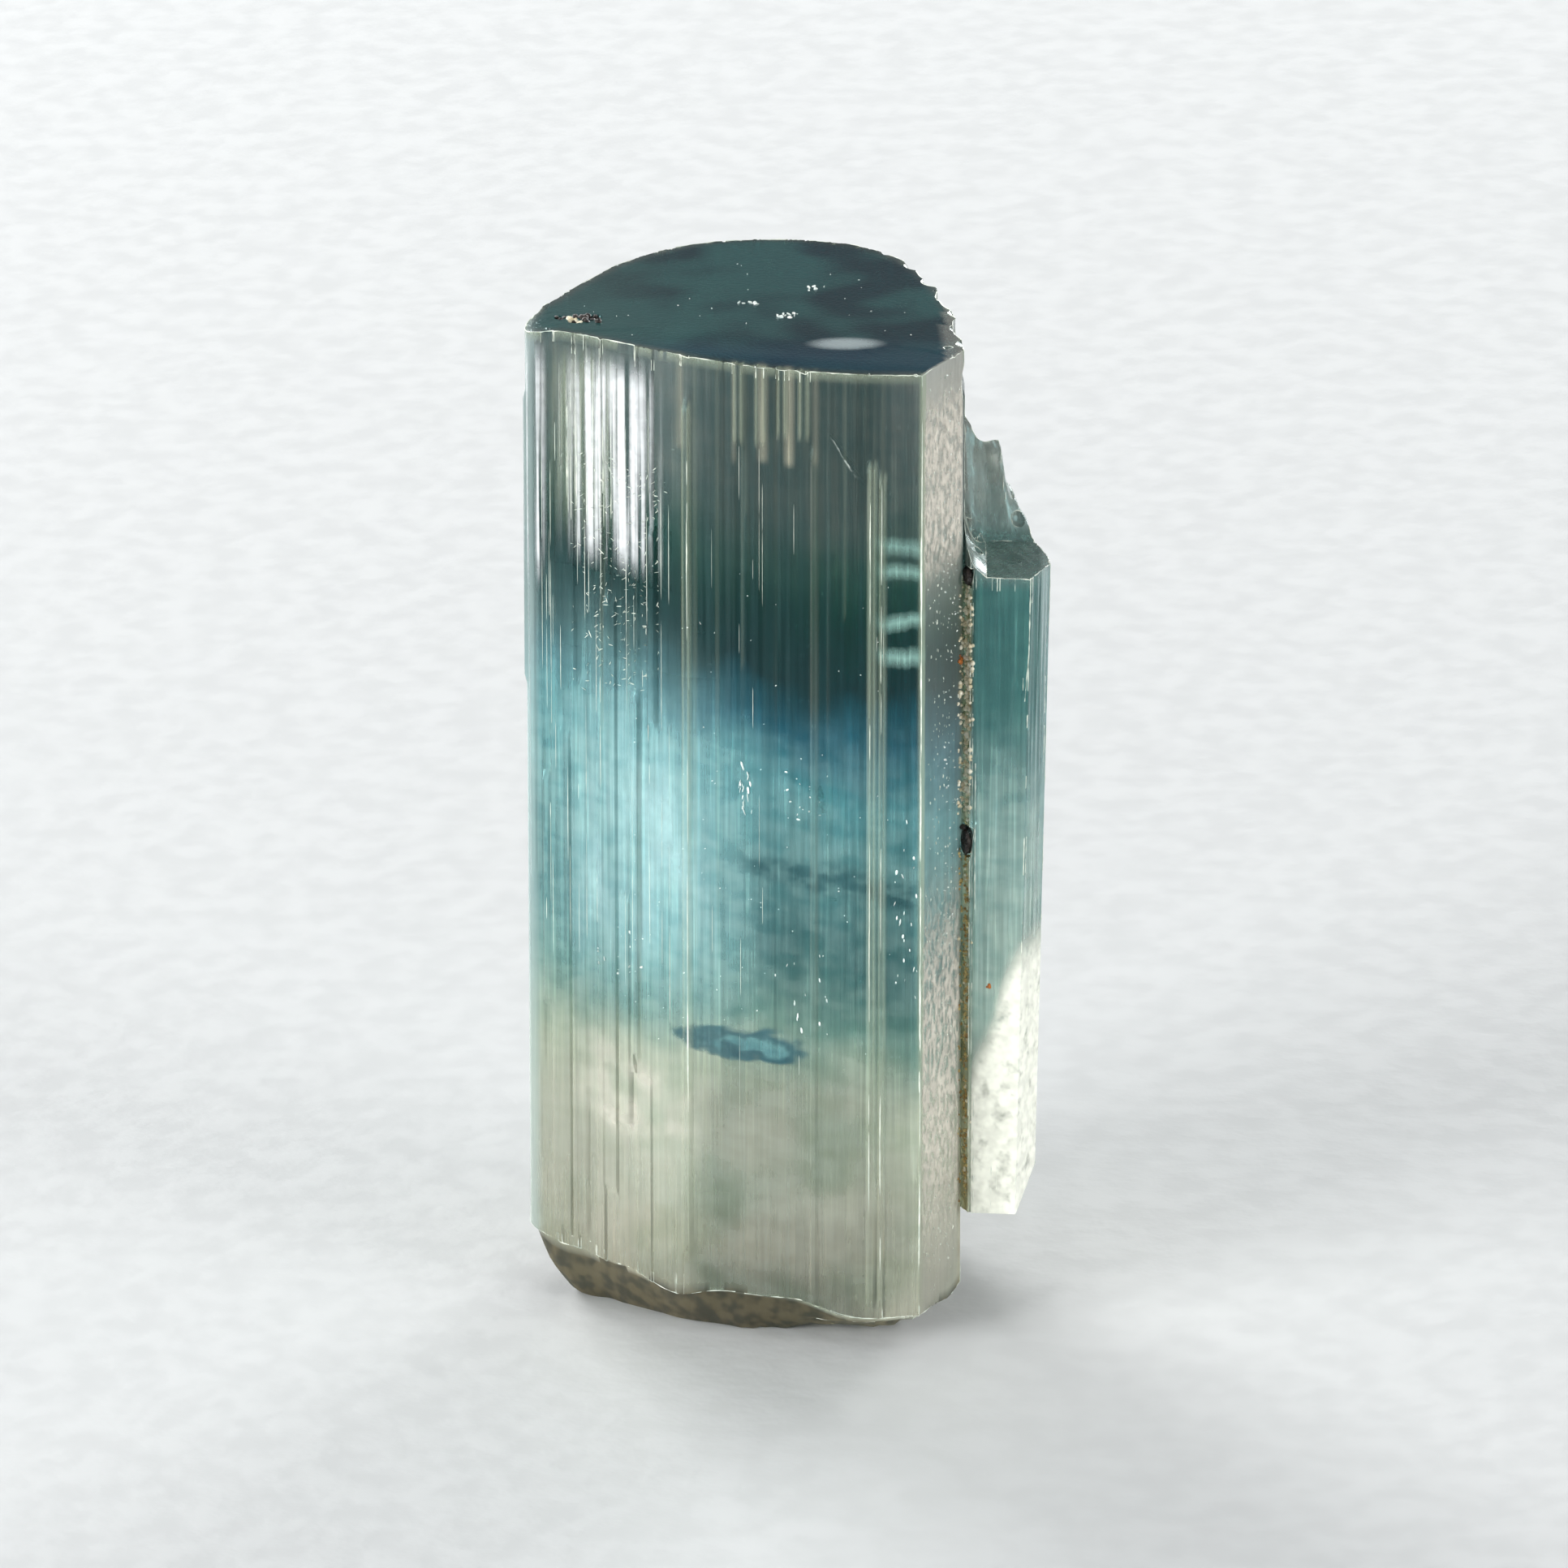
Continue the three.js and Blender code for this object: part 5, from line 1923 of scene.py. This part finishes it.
@dataclass
class BasalFace:
    """What lies on the flat top: dark and cream grains in its pits, and pale flecks."""

    patches: tuple[Scatter, ...] = (
        Scatter(
            "pit_grains", (-4.02, -1.05, 22.45), (-3.1, -0.62, 22.6),
            30, 0.03, 0.085, DARK_GRAIN, seed=2,
        ),
        Scatter(
            "pit_crust", (-3.8, -1.05, 22.5), (-3.4, -0.8, 22.6),
            12, 0.03, 0.08, CREAM_CRUST, seed=8,
        ),
        Scatter(
            "fleck_left", (-0.1, 0.0, 22.6), (0.3, 0.3, 22.6),
            9, 0.02, 0.07, SILVER_FLAKE, 0.3, seed=12,
        ),
        Scatter(
            "fleck_middle", (0.7, -0.8, 22.6), (1.1, -0.5, 22.6),
            12, 0.02, 0.07, SILVER_FLAKE, 0.3, seed=13,
        ),
        Scatter(
            "fleck_right", (1.4, 1.0, 22.6), (1.8, 1.3, 22.6),
            7, 0.02, 0.06, SILVER_FLAKE, 0.3, seed=14,
        ),
        Scatter(
            "top_dust", (-3.6, -2.6, 22.6), (3.6, 3.4, 22.6),
            30, 0.006, 0.016, SILVER_FLAKE, 0.5, 2.0, seed=15,
        ),
    )

    def build(self, crystal: Thing, finishes: Finishes) -> None:
        """Makes and dresses every piece on the top."""
        finishes.strew(self.patches, crystal)


@dataclass(frozen=True)
class SliverPatch:
    """Slivers of frost and painted glint on a stretch of wall, between two shares of its length."""

    name: str
    start: float
    end: float
    lowest: float
    highest: float
    count: int
    shortest: float
    longest: float
    width: float
    seed: int
    lines: int


@dataclass
class WallFrostAndGlints:
    """Bruised edges of the striae, whose fine bright lines also paint the light the ledges catch.
    """

    patches: tuple[SliverPatch, ...] = (
        SliverPatch("frost_left", 0.66, 0.8, 8.2, 20.8, 90, 0.1, 1.4, 0.008, 21, 22),
        # These slivers paint the sheen of the upper left.
        SliverPatch("frost_silky", 0.69, 0.755, 18.6, 21.6, 130, 0.1, 0.8, 0.01, 22, 26),
        SliverPatch("frost_front", 0.8, 0.995, 6.2, 21.0, 18, 0.1, 1.0, 0.005, 23, 12),
        SliverPatch("frost_back", 0.02, 0.64, 3.6, 20.8, 190, 0.1, 1.4, 0.008, 24, 60),
    )
    lines: tuple[tuple[float, float, float, int, float], ...] = (
        (-1.2, 3.0, 20.2, 14, 0.011),
        (2.71, 2.2, 19.8, 16, 0.011),
        (2.95, 2.2, 19.4, 12, 0.009),
        (3.8, 2.4, 21.2, 40, 0.016),
    )
    step: int = 6

    def build(self, crystal: Thing, finishes: Finishes) -> None:
        """Makes and dresses the slivers."""
        line = WALL.line[:: self.step]
        points = place(np.column_stack([line, np.zeros(len(line))])).tolist()
        edges = [(i, i + 1) for i in range(len(points) - 1)]
        for patch in (*self.patches, *self.line_patches()):
            mesh = bpy.data.meshes.new(patch.name)
            mesh.from_pydata(points, edges, [])
            values = values_of(patch, "count start end lines seed")
            values |= values_of(patch, "lowest highest shortest longest width", MM)
            values |= {"Crystal": crystal, "Finish": finishes.get(FROST_EDGE)}
            hand_over(grow(linked(patch.name, mesh), sliver_tree(), values))
        # Frost tubes on bruised edges, which also paint the rim light that the edges catch.
        edges_host = mesh_object("edge_frost", np.zeros((0, 3)), [])
        values = {"Crystal": crystal, "Finish": finishes.get(FROST_EDGE)}
        values |= {"Sharpest": 0.5, "Radius": 0.014 * MM}
        hand_over(grow(edges_host, edge_tree(), values))

    def line_patches(self) -> list[SliverPatch]:
        """The long broken lines along the named ribs' edges and the facet's front edge."""
        patches = []
        for i, (x, lowest, highest, count, width) in enumerate(self.lines):
            share = WALL.front_reach(x) / WALL.length
            reach = (share, share + 0.0008, lowest, highest)
            name = f"frost_line_{i}"
            patches.append(SliverPatch(name, *reach, count, 0.1, 1.1, width, 60 + i, 3))
        return patches


@dataclass
class MilkyCore:
    """The cloudy white growth inside the side prism, below a slanting boundary."""

    inset: float = -0.006
    bottom: float = 2.755
    softness: float = 1.3
    rows: int = 30

    def build(self) -> Thing:
        """The core as a closed mesh."""
        corners = np.array(SIDE_POINTS, float)
        middle = np.array([5.45, -1.6])
        dense = []
        for start, end in zip(corners, np.roll(corners, -1, axis=0)):
            dense += [start + (end - start) * i / 10 for i in range(10)]
        section = np.array(dense)
        section[:, 0] = np.maximum(section[:, 0], 4.95)
        away = section - middle
        reach = np.linalg.norm(away, axis=1, keepdims=True)
        section = middle + away / reach * np.maximum(reach - self.inset, 0.05)
        rings, shares = [], []
        for row in range(self.rows + 1):
            share = row / self.rows
            x, y = section.T
            top = 9.0 + 2.43 * (x - 5.95) + 0.1 * np.sin(9 * x) + 0.06 * np.sin(31 * y)
            top = np.minimum(top, 9.6)
            height = self.bottom * (1 - share) + top * share
            shifted = section.copy()
            shifted[:, 0] -= side_taper(section[:, 0], height)
            toe = np.maximum(shifted[:, 0] - (SIDE_POINTS[1][0] - SIDE_TAPER - 0.4), 0)
            height = np.maximum(height, self.bottom + 1.95 * toe)
            shares.append(smoothstep(top - height, 0.0, self.softness))
            rings.append(np.column_stack([shifted, height]))
        points, faces = capped_lattice(rings, rings[0].mean(0), rings[-1].mean(0))
        milk = mesh_object("side_milk", points, faces)
        write_mark(milk.data, "body_share", np.concatenate([*shares, [1.0, 0.0]]))
        return milk


@dataclass(frozen=True)
class WallSkin:
    """A skin on part of the wall, fading out to its sides: frost, milk, painted sheen and glow.

    Attributes:
        left: Its left end as seen from the front, in millimetres.
        right: Its right end.
        low: Its lower end.
        high: Its upper end.
        finish: What it is made of.
        fade: The share of its half width over which it fades.
        end_fade: The share of its half height over which it fades.
        lift: How far it stands proud of the wall.
    """

    name: str
    left: float
    right: float
    low: float
    high: float
    finish: VeilFinish
    fade: float = 0.6
    end_fade: float = 0.6
    lift: float = 0.007

    def build(self, prism: MainPrism) -> Thing:
        """The skin as a closed shell on the prism's own points.

        Args:
            prism: The prism that it lies on.

        Returns:
            The skin.
        """
        wall = prism.wall()
        _, outward, _ = prism.outline()
        middle = wall[len(wall) // 2]
        front = (np.arange(len(middle)) > 0.55 * prism.wall_columns) & (middle[:, 1] < -0.9)
        chosen = front & (middle[:, 0] > self.left) & (middle[:, 0] < self.right)
        columns = np.flatnonzero(chosen)
        heights = wall[:, columns, 2].mean(1)
        rows = np.flatnonzero((heights > self.low) & (heights < self.high))
        grid = wall[np.ix_(rows, columns)]
        away = np.column_stack([outward[columns], np.zeros(len(columns))])[None, :, :]
        across = np.abs(np.linspace(-1, 1, len(columns)))[None, :]
        up = np.abs(np.linspace(-1, 1, len(rows)))[:, None]
        share = smoothstep(1 - across, 0, self.fade) * smoothstep(1 - up, 0, self.end_fade)
        front_grid, back_grid = grid + away * self.lift, grid - away * self.lift
        points = np.vstack([front_grid.reshape(-1, 3), back_grid.reshape(-1, 3)])
        skin = mesh_object(self.name, points, slab_faces(len(columns), len(rows)))
        write_mark(skin.data, "body_share", np.tile(share.ravel(), 2))
        return skin


@dataclass
class Inclusions:
    """Everything in the crystal or thin on its walls: milk, the lens, cracks, skins and flakes."""

    core: MilkyCore = field(default_factory=MilkyCore)
    films: tuple[Film, ...] = (
        Film(
            "blue_lens", (0.15, -3.4, 6.72), (1.25, -0.3, -0.14),
            (0.06, 0.1, 0.22), BLUE_LENS, 0.1, 0.06, 0.2, 41,
        ),
        Film(
            "crack_arc", (1.66, -3.93, 12.75), (0.1, 0.1, 0.0),
            (-0.07, 0.05, 0.46), CRACK_VEIL, 0.02, 0.1, 0.12, 49,
        ),
        Film(
            "crack_slant", (2.2, -4.1, 20.6), (0.4, -0.03, -0.62),
            (0.03, 0.16, 0.05), CRACK_VEIL, 0.02, 0.05, 0.2, 50,
        ),
    )
    # The upper left skins paint sheen, the glow skin paints light; the facet skins are frost.
    skins: tuple[WallSkin, ...] = (
        WallSkin("silky_streak", -4.15, -1.5, 17.2, 22.56, SILK_AND_SHEEN_SKIN, 0.7, 0.35),
        WallSkin("silky_edge", -4.72, -4.2, 16.5, 22.56, SILK_AND_SHEEN_SKIN, 0.7, 0.4),
        WallSkin("milky_low_left", -4.1, -0.3, 3.3, 7.0, MILK_AND_LIGHT_SKIN, 0.7, 0.9),
        WallSkin("sky_glow", -4.2, -0.5, 6.8, 15.4, PAINTED_GLOW_SKIN, 0.7, 0.9),
        WallSkin("facet_frost_high", 3.83, 4.71, 17.2, 22.56, FACET_SKIN, 0.1, 0.5),
        WallSkin("facet_frost_low", 3.83, 4.71, 1.2, 11.5, FACET_SKIN, 0.1, 0.7),
    )
    patches: tuple[Scatter, ...] = (
        Scatter(
            "flakes", (-0.12, -3.7, 12.3), (0.2, -3.6, 13.4),
            18, 0.01, 0.03, SILVER_FLAKE, 0.3, 4.5, UPRIGHT, seed=31,
        ),
        Scatter(
            "flake_trail", (0.9, -3.9, 12.2), (1.9, -3.8, 13.6),
            18, 0.006, 0.024, SILVER_FLAKE, 0.3, 2.2, seed=36,
        ),
        Scatter(
            "sparkle_left", (-3.2, -2.2, 8.0), (-2.0, -2.0, 9.2),
            16, 0.01, 0.034, SILVER_FLAKE, 0.3, 2.0, seed=32,
        ),
        Scatter(
            "sparkle_mid", (0.6, -3.9, 7.3), (2.0, -3.8, 9.6),
            16, 0.008, 0.028, SILVER_FLAKE, 0.3, 2.4, UPRIGHT, seed=33,
        ),
        Scatter(
            "sparkle_right", (3.2, -4.4, 7.4), (3.75, -4.3, 12.4),
            24, 0.01, 0.03, SILVER_FLAKE, 0.3, 2.4, UPRIGHT, seed=34,
        ),
        Scatter(
            "specks_front", (-3.6, -3.6, 6.6), (3.6, -3.4, 17.8),
            90, 0.005, 0.013, SILVER_FLAKE, 0.5, 1.8, seed=37,
        ),
        Scatter(
            "scratches", (-3.9, -2.6, 14.6), (-1.5, -2.0, 19.9),
            330, 0.005, 0.012, FROST_EDGE, 0.5, 8.0, seed=38,
        ),
        Scatter(
            "dust_inside", (-2.6, -2.2, 2.5), (3.4, 2.0, 20.5),
            90, 0.015, 0.04, SILVER_FLAKE, 0.3, settle=0.0, seed=35,
        ),
    )

    def build(self, crystal: Thing, finishes: Finishes) -> None:
        """Makes and dresses every inclusion."""
        for film in self.films:
            finishes.dress(film.build(), film.finish, 60)
        prism = MainPrism()
        for skin in self.skins:
            finishes.dress(skin.build(prism), skin.finish, 40)
        finishes.dress(self.core.build(), MILKY_CORE, 40)
        finishes.strew(self.patches, crystal)


# ---- The studio ----


@dataclass(frozen=True)
class SoftLight:
    """A square soft light: where it stands in metres, how large it is and its power."""

    name: str
    at: Point
    size: float
    power: float
    colour: Point = (1.0, 1.0, 1.0)

    def build(self, towards: Vector) -> None:
        """Adds the light, turned towards a point."""
        light = bpy.data.lights.new(self.name, "AREA")
        light.size, light.energy, light.color = self.size, self.power, self.colour
        thing = linked(self.name, light)
        thing.location = self.at
        thing.rotation_euler = (towards - Vector(self.at)).to_track_quat("-Z", "Y").to_euler()


@dataclass
class Studio:
    """The pale floor, the soft lights, the surroundings and the camera."""

    floor_reach: float = 1.5
    sky: tuple[float, ...] = (0.62, 0.65, 0.67, 1.0)
    sky_strength: float = 0.36
    target: Point = (-0.00005, 0.0, 0.01155)
    distance: float = 0.32
    elevation: float = 21.0
    lens: float = 336.9
    lights: tuple[SoftLight, ...] = (
        SoftLight("overhead", (0.0, 0.0, 0.6), 0.5, 0.75),
        SoftLight("key_left", (-0.3, -0.22, 0.1), 0.2, 1.9),
        SoftLight("fill_right", (0.35, -0.2, 0.12), 0.2, 1.0),
        SoftLight("back_left", (-0.2, 0.32, 0.12), 0.16, 1.6),
        SoftLight("back_right", (0.2, 0.3, 0.1), 0.13, 0.9),
    )

    def build(self) -> None:
        """Sets up everything round the crystal."""
        self._floor()
        for light in self.lights:
            light.build(Vector(self.target))
        world = bpy.data.worlds.new("studio")
        bpy.context.scene.world = world
        world.use_nodes = True
        background = next(node for node in world.node_tree.nodes if node.type == "BACKGROUND")
        background.inputs["Color"].default_value = self.sky
        background.inputs["Strength"].default_value = self.sky_strength
        bpy.context.scene.view_settings.view_transform = "Standard"
        self._camera()

    def _floor(self) -> None:
        """A wide level disc under the crystal."""
        sides = 96
        rings = [0.02, 0.06, 0.2, 0.6, self.floor_reach]
        angle = np.linspace(0, math.tau, sides, endpoint=False)
        circle = np.column_stack([np.cos(angle), np.sin(angle), np.zeros(sides)])
        points = np.vstack([*(circle * reach for reach in rings), [[0, 0, 0]]])
        faces = [face[::-1] for face in lattice_faces(sides, len(rings))]
        faces += [(len(points) - 1, i, (i + 1) % sides) for i in range(sides)]
        mesh = bpy.data.meshes.new("floor")
        mesh.from_pydata(points.tolist(), [], faces)
        floor = linked("floor", mesh)
        floor.data.materials.append(FloorFinish().material())

    def _camera(self) -> None:
        """The camera, in front of the crystal and looking down on it."""
        data = bpy.data.cameras.new("camera")
        data.lens, data.sensor_width, data.clip_start = self.lens, 36.0, 0.01
        camera = linked("camera", data)
        lift = math.radians(self.elevation)
        towards = Vector(self.target)
        camera.location = towards + Vector((0.0, -math.cos(lift), math.sin(lift))) * self.distance
        camera.rotation_euler = (math.pi / 2 - lift, 0.0, 0.0)
        bpy.context.scene.camera = camera


def write_sizes() -> None:
    """Brings the view layer up to date."""
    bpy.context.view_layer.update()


def main() -> None:
    """Builds the crystal, what is in and on it, and the studio."""
    logging.basicConfig(level=logging.INFO, format="%(message)s")
    crystal = Crystal().build(CrystalFinish().material())
    finishes = Finishes()
    for part in (Seam(), BasalFace(), WallFrostAndGlints(), Inclusions()):
        part.build(crystal, finishes)
        LOG.info("%s is in place", type(part).__name__)
    Studio().build()
    write_sizes()


if __name__ == "__main__":
    main()
